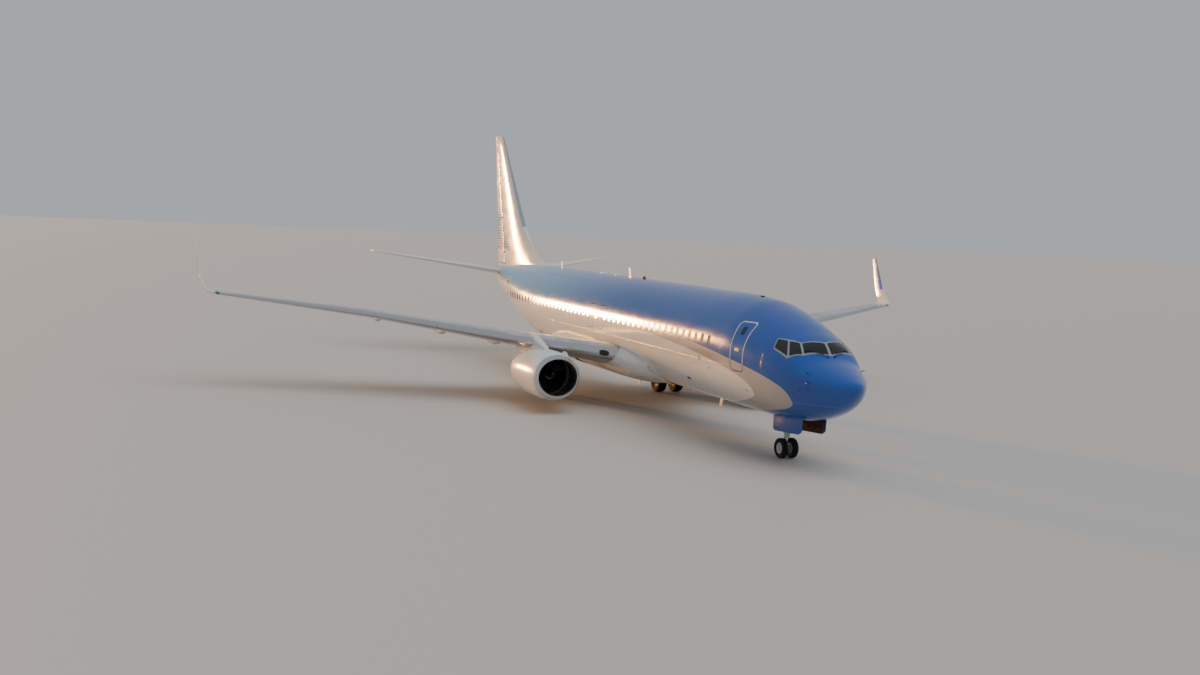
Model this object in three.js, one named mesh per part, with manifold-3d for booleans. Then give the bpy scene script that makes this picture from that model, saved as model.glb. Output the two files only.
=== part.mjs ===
import * as THREE from 'three';
import { mergeVertices } from 'three/addons/utils/BufferGeometryUtils.js';
import Module from 'manifold-3d';

// Twin-engined narrow-body airliner standing on its landing gear. Millimetres, +Z up.
// The nose points to -Y and the left wing to +X. The tyres stand on z = 0.
// Stations are measured backwards from the nose tip, so y = station - halfLength.
// Pieces with a left and a right copy are built on the left and mirrored.

const wasm = await Module();
wasm.setup();

// Overall sizes
const overallLength = 39470;
const halfLength = overallLength / 2;
const finTipHeight = 12550;
const seam = 0.3;
const runningGap = 8;

// Fuselage
const fuselageSides = 28;
const crownHeight = 5400;
const keelHeight = 1390;
const barrelHalfWidth = 1880;
const barrelWidest = 3520;
const radomeEnd = 1250;
const noseSectionEnd = 6200;
const forwardFuselageEnd = 13000;
const centreFuselageEnd = 22600;
const aftFuselageEnd = 31900;
const fuselageEnd = 38020;

// Fuselage profile. Columns: station, crown, keel, half width, height of the widest line.
const fuselageProfile = [
  [0, 2956, 2906, 25, 2931],
  [50, 3055, 2765, 185, 2925],
  [150, 3115, 2612, 330, 2912],
  [300, 3180, 2435, 485, 2900],
  [600, 3305, 2179, 725, 2890],
  [1000, 3460, 1957, 975, 2920],
  [1550, 3690, 1740, 1235, 2990],
  [1980, 4120, 1612, 1400, 3080],
  [2350, 4310, 1530, 1510, 3150],
  [2700, 4450, 1480, 1600, 3210],
  [3300, 4690, 1420, 1700, 3300],
  [4500, 5075, keelHeight, 1830, 3440],
  [5500, 5290, keelHeight, 1870, 3500],
  [7500, crownHeight, keelHeight, barrelHalfWidth, barrelWidest],
  [23500, crownHeight, keelHeight, barrelHalfWidth, barrelWidest],
  [25000, crownHeight, 1460, barrelHalfWidth, barrelWidest],
  [27000, crownHeight, 1720, 1840, 3640],
  [29000, 5390, 2130, 1720, 3880],
  [31000, 5355, 2650, 1500, 4130],
  [33000, 5285, 3210, 1200, 4330],
  [35000, 5175, 3740, 840, 4490],
  [36500, 5055, 4110, 540, 4600],
  [37500, 4950, 4350, 320, 4660],
  [fuselageEnd, 4880, 4470, 200, 4675],
];

// Cockpit glazing band in side view. Columns: station, height.
const glazingOutline = [
  [1450, 3760],
  [1990, 3740],
  [2220, 3660],
  [2900, 3900],
  [2990, 3990],
  [2990, 4150],
  [2400, 4140],
  [1450, 4100],
];
const glazingMiddle = [2200, 3950];
const glazingDepth = 45;

// Cabin and hold doors, which have no joint.
// Columns: name, side (1 is left), station of the centre, sill height, width, height.
const doorDepth = 120;
const doorCornerRadius = 130;
const fixedDoors = [
  ['door_forward_left', 1, 4850, 2900, 860, 1830],
  ['door_forward_right', -1, 4550, 2920, 780, 1650],
  ['door_aft_left', 1, 30900, 3020, 760, 1830],
  ['door_aft_right', -1, 30900, 3020, 760, 1650],
  ['hold_door_forward', -1, 8800, 1720, 1220, 890],
  ['hold_door_aft', -1, 25300, 1900, 1220, 800],
];

// Overwing exits, hinged along their top edges. Columns: name, side, station of the centre.
const exitSill = 3200;
const exitWidth = 510;
const exitHeight = 970;
const exitDepth = 60;
const exitPocketDepth = 140;
const exitCornerRadius = 40;
const exitHingeInset = 22;
const exitHingeDrop = 60;
const exitTopGap = 20;
const exitHingePinRadius = 12;
const exitPinRoot = 20;
const overwingExits = [
  ['exit_left_front', 1, 16600],
  ['exit_left_rear', 1, 17700],
  ['exit_right_front', -1, 16600],
  ['exit_right_rear', -1, 17700],
];

// Wing-to-body fairing. Columns as in the fuselage profile.
const fairingSides = 24;
const fairingProfile = [
  [12400, 2500, 1440, 1500, 2100],
  [13300, 2800, 1290, 1860, 2150],
  [14500, 2950, 1180, 2030, 2150],
  [16000, 2980, 1150, 2080, 2150],
  [21200, 2980, 1150, 2080, 2150],
  [22500, 2850, 1240, 1960, 2150],
  [23900, 2500, 1440, 1500, 2100],
];

// Wing, left side. Columns: distance from the centre line, leading edge station,
// trailing edge station, leading edge height, drop of the trailing edge, thickness.
const wingSections = [
  [1000, 13922, 21200, 2218, 260, 1000],
  [1880, 14400, 21200, 2317, 240, 950],
  [5700, 16476, 21200, 2746, 110, 570],
  [11000, 19357, 22472, 3440, 40, 340],
  [17160, 22705, 23950, 4031, 0, 135],
];
const slatChordShare = 0.1;
const slatSpan = [5900, 16500];
const inboardFlapSpan = [2150, 5500];
const outboardFlapSpan = [5800, 12300];
const flapFront = 19950;
const flapFrontSweep = 0.3;
const aileronSpan = [12500, 15700];
const aileronEndGaps = [30, 35];
const aileronHingeShare = 0.75;
const aileronHinges = [0.15, 0.5, 0.85];
const aileronHingeWidth = 60;

// Flap track fairings under each wing. Columns: distance from the centre line, front station,
// length, half width, depth.
const trackFairings = [
  [5650, 18500, 3050, 150, 330],
  [7900, 19250, 2850, 140, 300],
  [10500, 20350, 2600, 125, 260],
];

// Shape of a flap track fairing. Columns: share of its length, fullness, depth of its middle
// below the wing's lower side as a share of its own depth.
const trackFairingSides = 8;
const trackFairingShape = [
  [0, 0.08, 0],
  [0.12, 0.6, 0.1],
  [0.35, 1, 0.3],
  [0.65, 0.95, 0.34],
  [0.88, 0.5, 0.2],
  [1, 0.08, 0.05],
];

// Winglet. Columns: distance from the centre line, leading edge station, trailing edge
// station, height, thickness, cant of the section in degrees.
const wingletSections = [
  [17160, 22705, 23950, 4031, 135, 0],
  [17420, 23050, 24150, 4120, 110, 35],
  [17560, 23420, 24420, 4320, 95, 62],
  [17640, 23850, 24750, 4700, 80, 76],
  [17870, 24950, 25530, 6410, 45, 82],
];

// Tailplane, left side. Columns as in the wing table.
const stabiliserSections = [
  [250, 33955, 37660, 4740, 0, 400],
  [900, 34400, 37830, 4820, 0, 360],
  [7175, 38560, overallLength, 5590, 0, 85],
];
const elevatorSpan = [800, 6900];
const elevatorEndGaps = [60, 40];
const elevatorHingeShare = 0.7;
const elevatorHinges = [0.12, 0.5, 0.88];
const elevatorHingeWidth = 70;

// Fin. Columns: height, leading edge station, trailing edge station, thickness.
const finSections = [
  [5000, 30780, 37330, 740],
  [6510, 32090, 37630, 640],
  [12380, 37190, 38770, 190],
  [finTipHeight, 37500, 38700, 90],
];
const dorsalSections = [
  [5250, 28250, 34000, 340],
  [6520, 32080, 34000, 150],
];
const rudderSpan = [5260, 12330];
const rudderEndGaps = [90, 30];
const rudderHingeShare = 0.71;
const rudderGap = 15;
const rudderHinges = [0.08, 0.36, 0.64, 0.92];
const rudderHingeWidth = 90;

// Hinges of the control surfaces
const noseAngles = [90, 135, 180, 225, 270];
const lugSides = 8;
const slotSides = 12;
const lugShare = 0.6;
const lugRoot = 40;

// Engine. Radii are measured from the fan axis.
const engineX = 4830;
const engineZ = 1530;
const nacelleSides = 24;
const coreSides = 20;
const hubSides = 12;
const fanRadius = 777;
const fanDuctRadius = 792;
const fanStation = 14650;
const fanBladeCount = 24;

// Spinner and hub. Columns: station measured from the fan, radius.
const hubOutline = [
  [-450, 8],
  [-390, 70],
  [-250, 150],
  [-100, 215],
  [20, 235],
  [250, 262],
];

// Fan blade. Columns: radius, chord, stagger from the axis in degrees, thickness.
const bladeSections = [
  [200, 190, 20, 24],
  [fanRadius, 260, 60, 8],
];

// Nacelle outside. Columns: station, crown, keel, half width.
const nacelleOutside = [
  [13500, 2275, 755, 840],
  [13545, 2345, 690, 905],
  [13660, 2405, 625, 960],
  [13950, 2455, 560, 1005],
  [14700, 2495, 500, 1040],
  [15600, 2470, 500, 1040],
  [16400, 2330, 560, 985],
  [17050, 2160, 690, 830],
];

// Nacelle duct. Columns as above; it runs past both ends of the outside.
const nacelleDuct = [
  [13495, 2268, 762, 833],
  [13560, 2225, 795, 795],
  [13760, 2215, 800, 778],
  [14250, engineZ + 765, engineZ - 745, 775],
  [14500, engineZ + fanDuctRadius, engineZ - fanDuctRadius, fanDuctRadius],
  [15800, engineZ + fanDuctRadius, engineZ - fanDuctRadius, fanDuctRadius],
  [17055, 2145, 705, 815],
];

// Core cowl, nozzle and plug. Columns: station, radius.
const coreProfile = [
  [14900 + seam, 270],
  [15050, 380],
  [15500, 520],
  [16200, 570],
  [17000, 500],
  [17700, 370],
  [17710, 250],
  [18250, 60],
];
const vaneCount = 8;
const vaneStations = [15250, 15480];
const vaneThickness = 22;
const vaneTipSink = 15;
const vaneRoot = 350;
const bifurcationStations = [15490, 16200];
const bifurcationThickness = 110;
const bifurcationRoot = 420;

// Pylon side view. Columns: station, height.
const pylonOutline = [
  [14650, 2420],
  [15100, 2590],
  [15900, 2800],
  [16500, 2960],
  [19300, 2700],
  [18900, 2250],
  [17900, 1900],
  [17100, 1900],
  [17060, 2152],
  [16400, 2285],
];
const pylonReach = 300;

// Pylon plan view. Columns: station, half width.
const pylonPlan = [
  [14600, 15],
  [15100, 120],
  [15900, 190],
  [17600, 190],
  [19300, 20],
];

// Wheels: width of the rim as a share of the tyre's, and radii as shares of the rim's or
// the axle's
const gearSides = 20;
const rimWidthShare = 0.72;
const rimLipShare = 0.88;
const wheelDishShare = 0.62;
const wheelDishOffset = 30;
const hubCapInset = 20;
const hubCapShare = 1.3;
const axleCollarShare = 1.7;

// Main landing gear, left side
const mainTyreRadius = 565;
const mainTyreHalfWidth = 210;
const mainWheelOffset = 430;
const mainRimRadius = 267;
const mainGearX = 2860;
const mainGearStation = 19610;
const mainBossHalfLength = 130;
const mainBossRadius = 120;
const mainAxleRadius = 65;
const mainAxleClearance = 7;
const bossOverrun = 10;

// Round members of the left main leg. Columns: x, station and height of one end, the same
// for the other end, radius.
const mainMembers = [
  [2860, 19610, 1150, 2860, 19610, 2300, 130],
  [2860, 19610, 565, 2860, 19610, 1250, 85],
  [2860, 19610, 1450, 2000, 19610, 1825, 50],
  [2860, 19610, 1650, 2920, 18750, 2350, 48],
];

// Strut door on the left main leg and its two brackets. Columns: low corner, high corner.
const strutDoorBlocks = [
  [[2860, 19570, 1380], [3225, 19650, 1440]],
  [[2860, 19570, 1860], [3225, 19650, 1920]],
  [[3200, 19230, 1170], [3240, 19900, 2400]],
];

// Torque links. Columns: distance behind the leg's axis, top, foot, reach, half width.
const mainLink = [60, 1420, 640, 330, 45];
const noseLink = [30, 760, 370, 210, 30];
const linkKneeHalf = 60;
const linkArmDepth = 90;

// Nose landing gear
const noseTyreRadius = 343;
const noseTyreHalfWidth = 100;
const noseWheelOffset = 205;
const noseRimRadius = 191;
const noseGearStation = 4010;
const noseBossHalfLength = 75;
const noseBossRadius = 75;
const noseAxleRadius = 36;
const noseAxleClearance = 6;
const noseSteeringTop = 820;
const towFitting = [[-35, 3880, 460], [35, 4010, 530]];

// Round members of the nose leg and of its steered part. Columns as for the main leg.
const noseMembers = [
  [0, 4010, noseSteeringTop, 0, 4010, 2250, 85],
  [0, 4010, noseSteeringTop, 0, 4010, 1000, 120],
  [0, 4010, 1250, 0, 3150, 2250, 40],
  [0, 4010, 1150, 0, 3850, 1150, 75],
];
const steeringMembers = [
  [0, 4010, 700, 0, 4010, noseSteeringTop - seam, 95],
  [0, 4010, noseTyreRadius, 0, 4010, 760, 52],
];

// Nose gear door in side view. Columns: station, height.
const noseDoorOutline = [
  [2340, 1600],
  [4180, 1560],
  [4180, 1010],
  [4060, 950],
  [2560, 1060],
  [2380, 1170],
];
const noseDoorThickness = 40;

// Nose gear bay and main wheel wells
const noseBayStations = [2300, 4450];
const noseBayHalfWidth = 430;
const noseBayRoof = 2150;
const wheelWellX = 1130;
const wheelWellRadius = 600;
const wheelWellRoof = 1820;
const legSlotHalfWidth = 240;
const legSlotRoof = 1700;

// Finishes. Columns: colour, roughness, metalness.
const finishes = {
  bluePaint: [0x1d46a3, 0.3, 0],
  whitePaint: [0xe9eaec, 0.35, 0],
  greyPaint: [0xb4b8bd, 0.4, 0],
  bareMetal: [0xb9bdc2, 0.25, 1],
  hotMetal: [0x6f6a64, 0.4, 1],
  glass: [0x10141a, 0.1, 0],
  rubber: [0x17181a, 0.85, 0],
  titanium: [0x83868b, 0.35, 1],
};

const airliner = new THREE.Group();
airliner.name = 'airliner';

function addPiece(name, geometry, finish, position = [0, 0, 0]) {
  const [color, roughness, metalness] = finishes[finish];
  const material = new THREE.MeshStandardMaterial({ color, roughness, metalness });
  const mesh = new THREE.Mesh(geometry, material);
  mesh.name = name;
  mesh.position.set(...position);
  airliner.add(mesh);
}

// Solids: joining and cutting

function signedVolume(vertices, triangles) {
  const corner = [new THREE.Vector3(), new THREE.Vector3(), new THREE.Vector3()];
  let volume = 0;
  for (let t = 0; t < triangles.length; t += 3) {
    corner.forEach((point, k) => point.fromArray(vertices, triangles[t + k] * 3));
    volume += corner[0].dot(corner[1].cross(corner[2])) / 6;
  }
  return volume;
}

function solidOf(geometry) {
  const bare = geometry.clone();
  bare.deleteAttribute('normal');
  bare.deleteAttribute('uv');
  const merged = mergeVertices(bare);
  const vertProperties = new Float32Array(merged.attributes.position.array);
  const triVerts = new Uint32Array(merged.index.array);
  if (signedVolume(vertProperties, triVerts) < 0) {
    for (let t = 0; t < triVerts.length; t += 3) {
      [triVerts[t + 1], triVerts[t + 2]] = [triVerts[t + 2], triVerts[t + 1]];
    }
  }
  return new wasm.Manifold(new wasm.Mesh({ numProp: 3, vertProperties, triVerts }));
}

function geometryOf(solid) {
  const { vertProperties, triVerts } = solid.getMesh();
  const geometry = new THREE.BufferGeometry();
  geometry.setAttribute('position', new THREE.BufferAttribute(new Float32Array(vertProperties), 3));
  geometry.setIndex(new THREE.BufferAttribute(new Uint32Array(triVerts), 1));
  return geometry;
}

function mirrored(solid) {
  return solidOf(geometryOf(solid).scale(-1, 1, 1));
}

function joined(solids) {
  return solids.reduce((whole, solid) => whole.add(solid));
}

function cutBy(solid, tools) {
  return tools.reduce((rest, tool) => rest.subtract(tool), solid);
}

function yAt(station) {
  return station - halfLength;
}

// A table's row at a value of its first column, in straight lines between its rows
function rowAt(table, value) {
  const next = table.findIndex((row) => row[0] >= value);
  const after = table[Math.max(1, next < 0 ? table.length - 1 : next)];
  const before = table[table.indexOf(after) - 1];
  const share = (value - before[0]) / (after[0] - before[0]);
  return before.map((entry, column) => entry + share * (after[column] - entry));
}

// A table's rows between two values of its first column, with a row at each
function rowsBetween(table, from, to) {
  const inside = table.filter((row) => row[0] > from && row[0] < to);
  return [rowAt(table, from), ...inside, rowAt(table, to)];
}

// Closed skin through rings that have equal numbers of points, with flat ends. The two
// triangles of each quad are chosen so that the left and the right side match.
function loft(rings) {
  const count = rings[0].length;
  const lastRing = (rings.length - 1) * count;
  const faces = [];
  rings.slice(1).forEach((ring, row) => {
    for (let k = 0; k < count; k += 1) {
      const next = (k + 1) % count;
      const a = row * count + k;
      const b = row * count + next;
      if (ring[k].x + ring[next].x > 0) {
        faces.push(a, b, a + count, b, b + count, a + count);
      } else {
        faces.push(a, b, b + count, a, b + count, a + count);
      }
    }
  });
  for (let k = 1; k < count - 1; k += 1) {
    faces.push(0, k + 1, k, lastRing, lastRing + k, lastRing + k + 1);
  }
  const geometry = new THREE.BufferGeometry();
  const positions = rings.flat().flatMap((point) => point.toArray());
  geometry.setAttribute('position', new THREE.Float32BufferAttribute(positions, 3));
  geometry.setIndex(faces);
  return solidOf(geometry);
}

// Ring of a body: two half ellipses, above and below their shared widest line
function bodyRing([station, crown, keel, halfWidth, widest], sides, grow = 0, centreX = 0) {
  const ring = [];
  for (let k = 0; k < sides; k += 1) {
    const angle = (2 * Math.PI * k) / sides;
    const reach = Math.sin(angle) > 0 ? crown - widest : widest - keel;
    ring.push(new THREE.Vector3(
      centreX + (halfWidth + grow) * Math.cos(angle),
      yAt(station),
      widest + (reach + grow) * Math.sin(angle),
    ));
  }
  return ring;
}

// Half thickness of a wing-like section at a share of its chord, for a thickness of 1
function sectionHalfThickness(share) {
  const curve = 0.2969 * Math.sqrt(share) - 0.126 * share - 0.3516 * share ** 2
    + 0.2843 * share ** 3 - 0.1036 * share ** 4;
  return 5 * curve;
}

const chordShares = [0, 0.015, 0.06, 0.15, 0.3, 0.5, 0.75, 1];
const edgeHalfThickness = 5;

// Outline of a wing-like section: [share of chord, half thickness with its sign], from the
// trailing edge over the top to the leading edge and back below
function sectionOutline(thickness) {
  const upper = chordShares.map((share) => [
    share,
    Math.max(share === 0 ? 0 : edgeHalfThickness, thickness * sectionHalfThickness(share)),
  ]);
  const lower = upper.slice(1).map(([share, half]) => [share, -half]);
  return [...upper.reverse(), ...lower];
}

// Ring of a wing, tailplane or winglet. The section's thickness leans inwards by the cant.
function wingRing([x, leading, trailing, height, drop, thickness], grow = 0, cant = 0) {
  const lean = THREE.MathUtils.degToRad(cant);
  return sectionOutline(thickness).map(([share, half]) => {
    const away = half + Math.sign(half) * grow;
    const edge = share === 0 ? -grow : 0;
    return new THREE.Vector3(
      x - away * Math.sin(lean),
      yAt(leading + share * (trailing - leading) + edge),
      height - drop * share + away * Math.cos(lean),
    );
  });
}

function finRing([height, leading, trailing, thickness]) {
  return sectionOutline(thickness).map(([share, half]) => new THREE.Vector3(
    half,
    yAt(leading + share * (trailing - leading)),
    height,
  ));
}

// Prism from an outline seen from above, [x, station] corners
function planPrism(corners, low, high) {
  const shape = new THREE.Shape(corners.map(([x, station]) => new THREE.Vector2(x, yAt(station))));
  const geometry = new THREE.ExtrudeGeometry(shape, { depth: high - low, bevelEnabled: false });
  return solidOf(geometry.translate(0, 0, low));
}

// Prism from an outline seen from the left, [station, height] corners, between two x values
function sidePrism(shape, low, high) {
  const geometry = new THREE.ExtrudeGeometry(shape, {
    depth: high - low,
    bevelEnabled: false,
    curveSegments: 2,
  });
  // (station, height, depth) becomes (depth, station, height)
  const turn = new THREE.Matrix4().set(0, 0, 1, low, 1, 0, 0, -halfLength, 0, 1, 0, 0, 0, 0, 0, 1);
  return solidOf(geometry.applyMatrix4(turn));
}

function cornerShape(corners) {
  return new THREE.Shape(corners.map(([station, height]) => new THREE.Vector2(station, height)));
}

function roundedShape(station, sill, width, height, radius) {
  const left = station - width / 2;
  const right = station + width / 2;
  const top = sill + height;
  const shape = new THREE.Shape();
  shape.moveTo(left + radius, sill);
  shape.lineTo(right - radius, sill);
  shape.absarc(right - radius, sill + radius, radius, -Math.PI / 2, 0);
  shape.lineTo(right, top - radius);
  shape.absarc(right - radius, top - radius, radius, 0, Math.PI / 2);
  shape.lineTo(left + radius, top);
  shape.absarc(left + radius, top - radius, radius, Math.PI / 2, Math.PI);
  shape.lineTo(left, sill + radius);
  shape.absarc(left + radius, sill + radius, radius, Math.PI, 1.5 * Math.PI);
  return shape;
}

// Round bar between two points, [x, station, height]
function bar(from, to, radius, sides = 12) {
  const start = new THREE.Vector3(from[0], yAt(from[1]), from[2]);
  const end = new THREE.Vector3(to[0], yAt(to[1]), to[2]);
  const direction = end.clone().sub(start);
  const geometry = new THREE.CylinderGeometry(radius, radius, direction.length(), sides);
  const turn = new THREE.Quaternion().setFromUnitVectors(
    new THREE.Vector3(0, 1, 0),
    direction.clone().normalize(),
  );
  geometry.applyQuaternion(turn);
  const middle = start.add(end).multiplyScalar(0.5);
  return solidOf(geometry.translate(middle.x, middle.y, middle.z));
}

// Block between two corners, [x, station, height]
function block(low, high) {
  const geometry = new THREE.BoxGeometry(high[0] - low[0], high[1] - low[1], high[2] - low[2]);
  return solidOf(geometry.translate(
    (low[0] + high[0]) / 2,
    yAt((low[1] + high[1]) / 2),
    (low[2] + high[2]) / 2,
  ));
}

// Fuselage and its doors

function fuselageSolid(from, to, grow = 0) {
  return loft(rowsBetween(fuselageProfile, from, to).map((row) => bodyRing(row, fuselageSides, grow)));
}

function fairingSolid(grow = 0) {
  return loft(fairingProfile.map((row) => bodyRing(row, fairingSides, grow)));
}

// Distance of the faceted skin from the centre line at a station and height, above the
// widest line
function skinX(station, height) {
  const ring = bodyRing(rowAt(fuselageProfile, station), fuselageSides);
  const next = ring.findIndex((point) => point.z >= height);
  const share = (height - ring[next - 1].z) / (ring[next].z - ring[next - 1].z);
  return THREE.MathUtils.lerp(ring[next - 1].x, ring[next].x, share);
}

const farOut = 3000;

function sideSpan(side) {
  return side > 0 ? [0, farOut] : [-farOut, 0];
}

// What a side-view shape cuts out of the skin, down to a depth
function skinPanel(shape, side, depth) {
  return sidePrism(shape, ...sideSpan(side))
    .intersect(fuselageSolid(0, fuselageEnd))
    .subtract(fuselageSolid(0, fuselageEnd, -depth));
}

function skinPocket(shape, side, depth) {
  return sidePrism(shape, ...sideSpan(side)).subtract(fuselageSolid(0, fuselageEnd, -depth));
}

const pockets = [];

for (const [name, side, station, sill, width, height] of fixedDoors) {
  const shape = roundedShape(station, sill, width, height, doorCornerRadius);
  const wide = width + 2 * seam;
  const high = height + 2 * seam;
  const opening = roundedShape(station, sill - seam, wide, high, doorCornerRadius);
  pockets.push(skinPocket(opening, side, doorDepth + seam));
  const finish = name.startsWith('door_forward') ? 'bluePaint' : 'whitePaint';
  addPiece(name, geometryOf(skinPanel(shape, side, doorDepth)), finish);
}

// Each exit turns on two short pins that stand in the side walls of its opening
const exitHingeHeight = exitSill + exitHeight - exitHingeDrop;
const exitPins = [];

for (const [name, side, station] of overwingExits) {
  const shape = roundedShape(station, exitSill, exitWidth, exitHeight, exitCornerRadius);
  const wide = exitWidth + 2 * runningGap;
  const high = exitHeight + runningGap + exitTopGap;
  const opening = roundedShape(station, exitSill - runningGap, wide, high, exitCornerRadius);
  const hingeX = side * (skinX(station, exitHingeHeight) - exitHingeInset);
  pockets.push(skinPocket(opening, side, exitPocketDepth));
  for (const end of [-1, 1]) {
    const root = station + end * (wide / 2 + exitPinRoot);
    const tip = station + end * (exitWidth / 2 + seam);
    const pinFrom = [hingeX, root, exitHingeHeight];
    exitPins.push(bar(pinFrom, [hingeX, tip, exitHingeHeight], exitHingePinRadius));
  }
  addPiece(name, geometryOf(skinPanel(shape, side, exitDepth)), 'bluePaint');
}

function fuselageSection(name, from, to, finish, extraCuts = [], extraJoins = []) {
  const shell = fuselageSolid(from + seam / 2, to - seam / 2);
  const section = cutBy(shell, [...pockets, ...extraCuts]);
  addPiece(name, geometryOf(joined([section, ...extraJoins])), finish);
}

// The glazing is a band round the nose, with its posts
function glazingPrism(grow) {
  const corners = glazingOutline.map(([station, height]) => [
    station + Math.sign(station - glazingMiddle[0]) * grow,
    height + Math.sign(height - glazingMiddle[1]) * grow,
  ]);
  return sidePrism(cornerShape(corners), -farOut, farOut);
}

const glazing = glazingPrism(0)
  .intersect(fuselageSolid(radomeEnd, noseSectionEnd))
  .subtract(fuselageSolid(radomeEnd, noseSectionEnd, -glazingDepth));
const glazingPocket = glazingPrism(2 * seam)
  .subtract(fuselageSolid(radomeEnd, noseSectionEnd, -glazingDepth - seam));
addPiece('flight_deck_glazing', geometryOf(glazing), 'glass');

const noseBay = block(
  [-noseBayHalfWidth, noseBayStations[0], 0],
  [noseBayHalfWidth, noseBayStations[1], noseBayRoof],
);
fuselageSection('radome', 0, radomeEnd, 'bluePaint');
fuselageSection('nose_section', radomeEnd, noseSectionEnd, 'bluePaint', [noseBay, glazingPocket]);
fuselageSection('forward_fuselage', noseSectionEnd, forwardFuselageEnd, 'bluePaint');
fuselageSection('centre_fuselage', forwardFuselageEnd, centreFuselageEnd, 'bluePaint', [], exitPins);
fuselageSection('aft_fuselage', centreFuselageEnd, aftFuselageEnd, 'whitePaint');
fuselageSection('tail_cone', aftFuselageEnd, fuselageEnd, 'whitePaint');

// Wing-to-body fairing with the two wheel wells and the slots for the legs
const fuselageClear = fuselageSolid(0, fuselageEnd, seam);
const wellLow = 900;
const wells = [-1, 1].flatMap((side) => [
  bar(
    [side * wheelWellX, mainGearStation, wellLow],
    [side * wheelWellX, mainGearStation, wheelWellRoof],
    wheelWellRadius,
    gearSides,
  ),
  block(
    [Math.min(side * wheelWellX, side * farOut), mainGearStation - legSlotHalfWidth, wellLow],
    [Math.max(side * wheelWellX, side * farOut), mainGearStation + legSlotHalfWidth, legSlotRoof],
  ),
]);
addPiece('wing_body_fairing', geometryOf(cutBy(fairingSolid(), [fuselageClear, ...wells])), 'whitePaint');
const bodyClear = [fuselageClear, fairingSolid(seam)];

// Control surfaces

// Hinge on a control surface's axis: a lug for the fixed part, and the slot for it
function hingeAt(axisPoint, axisDirection, noseRadius, width, reach) {
  const along = axisDirection.clone().normalize();
  const ahead = new THREE.Vector3(0, -1, 0);
  ahead.addScaledVector(along, -ahead.dot(along)).normalize();
  const place = new THREE.Matrix4()
    .makeBasis(along, ahead, new THREE.Vector3().crossVectors(along, ahead))
    .setPosition(axisPoint);
  const lugRadius = noseRadius * lugShare;
  const lugWidth = width - 2 * seam;
  const knuckle = new THREE.CylinderGeometry(lugRadius, lugRadius, lugWidth, lugSides);
  const arm = new THREE.BoxGeometry(lugWidth, reach, lugRadius).translate(0, reach / 2, 0);
  const slotRadius = noseRadius + runningGap;
  const slot = new THREE.CylinderGeometry(slotRadius, slotRadius, width, slotSides);
  return {
    lug: solidOf(knuckle.rotateZ(Math.PI / 2).applyMatrix4(place)).add(solidOf(arm.applyMatrix4(place))),
    slot: solidOf(slot.rotateZ(Math.PI / 2).applyMatrix4(place)),
  };
}

// Axis point and nose radius of a control surface at a place along its span
function hingePoint(table, value, share, upright) {
  const row = rowAt(table, value);
  const [, leading, trailing] = row;
  const thickness = row[row.length - 1];
  const station = leading + share * (trailing - leading);
  const radius = thickness * sectionHalfThickness(share);
  const point = upright
    ? new THREE.Vector3(0, yAt(station), value)
    : new THREE.Vector3(value, yAt(station), row[3] - row[4] * share);
  return { point, radius, trailing, drop: upright ? 0 : row[4] * (1 - share) };
}

// Ring of a control surface: a round nose about its hinge axis, tapering to the edge
function surfaceRing(table, value, share, upright) {
  const { point, radius, trailing, drop } = hingePoint(table, value, share, upright);
  const across = upright ? new THREE.Vector3(1, 0, 0) : new THREE.Vector3(0, 0, 1);
  const tip = new THREE.Vector3(point.x, yAt(trailing), point.z - drop);
  const nose = noseAngles.map((angle) => {
    const turn = THREE.MathUtils.degToRad(angle);
    return point.clone()
      .addScaledVector(across, radius * Math.sin(turn))
      .add(new THREE.Vector3(0, radius * Math.cos(turn), 0));
  });
  return [
    tip.clone().addScaledVector(across, edgeHalfThickness),
    ...nose,
    tip.clone().addScaledVector(across, -edgeHalfThickness),
  ];
}

// A control surface with its slots, and the lugs that its fixed part gets
function controlSurface(table, span, share, upright, hingePlaces, hingeWidth, gap) {
  const near = hingePoint(table, span[0], share, upright);
  const far = hingePoint(table, span[1], share, upright);
  const direction = far.point.clone().sub(near.point);
  const hinges = hingePlaces.map((place) => {
    const radius = THREE.MathUtils.lerp(near.radius, far.radius, place);
    const point = near.point.clone().addScaledVector(direction, place);
    return hingeAt(point, direction, radius, hingeWidth, radius + gap + lugRoot);
  });
  const blade = loft(span.map((value) => surfaceRing(table, value, share, upright)));
  return {
    surface: cutBy(blade, hinges.map((hinge) => hinge.slot)),
    lugs: hinges.map((hinge) => hinge.lug),
  };
}

// Where a control surface sits: everything behind a line just ahead of its nose
function surfacePocketCorners(table, span, share, upright, gap, endGaps) {
  return [span[0] - endGaps[0], span[1] + endGaps[1]].map((value) => {
    const { point, radius } = hingePoint(table, value, share, upright);
    return [value, point.y + halfLength - radius - gap];
  });
}

// Wings

const behindWing = 26000;
const aheadOfWing = 12000;
const wingLow = 500;
const wingHigh = 6500;
const wingRootX = wingSections[0][0];
const wingTipX = wingSections[wingSections.length - 1][0];

function wingSolid(grow = 0) {
  return loft(rowsBetween(wingSections, wingRootX, wingTipX - seam / 2).map((row) => wingRing(row, grow)));
}

// Plan-view region behind a straight line between two [x, station] points
function regionBehind([start, end], grow = 0) {
  return planPrism([
    [start[0] - grow, start[1] - grow],
    [end[0] + grow, end[1] - grow],
    [end[0] + grow, behindWing],
    [start[0] - grow, behindWing],
  ], wingLow, wingHigh);
}

function chordPoint(x, share) {
  const [, leading, trailing] = rowAt(wingSections, x);
  return [x, leading + share * (trailing - leading)];
}

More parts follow.
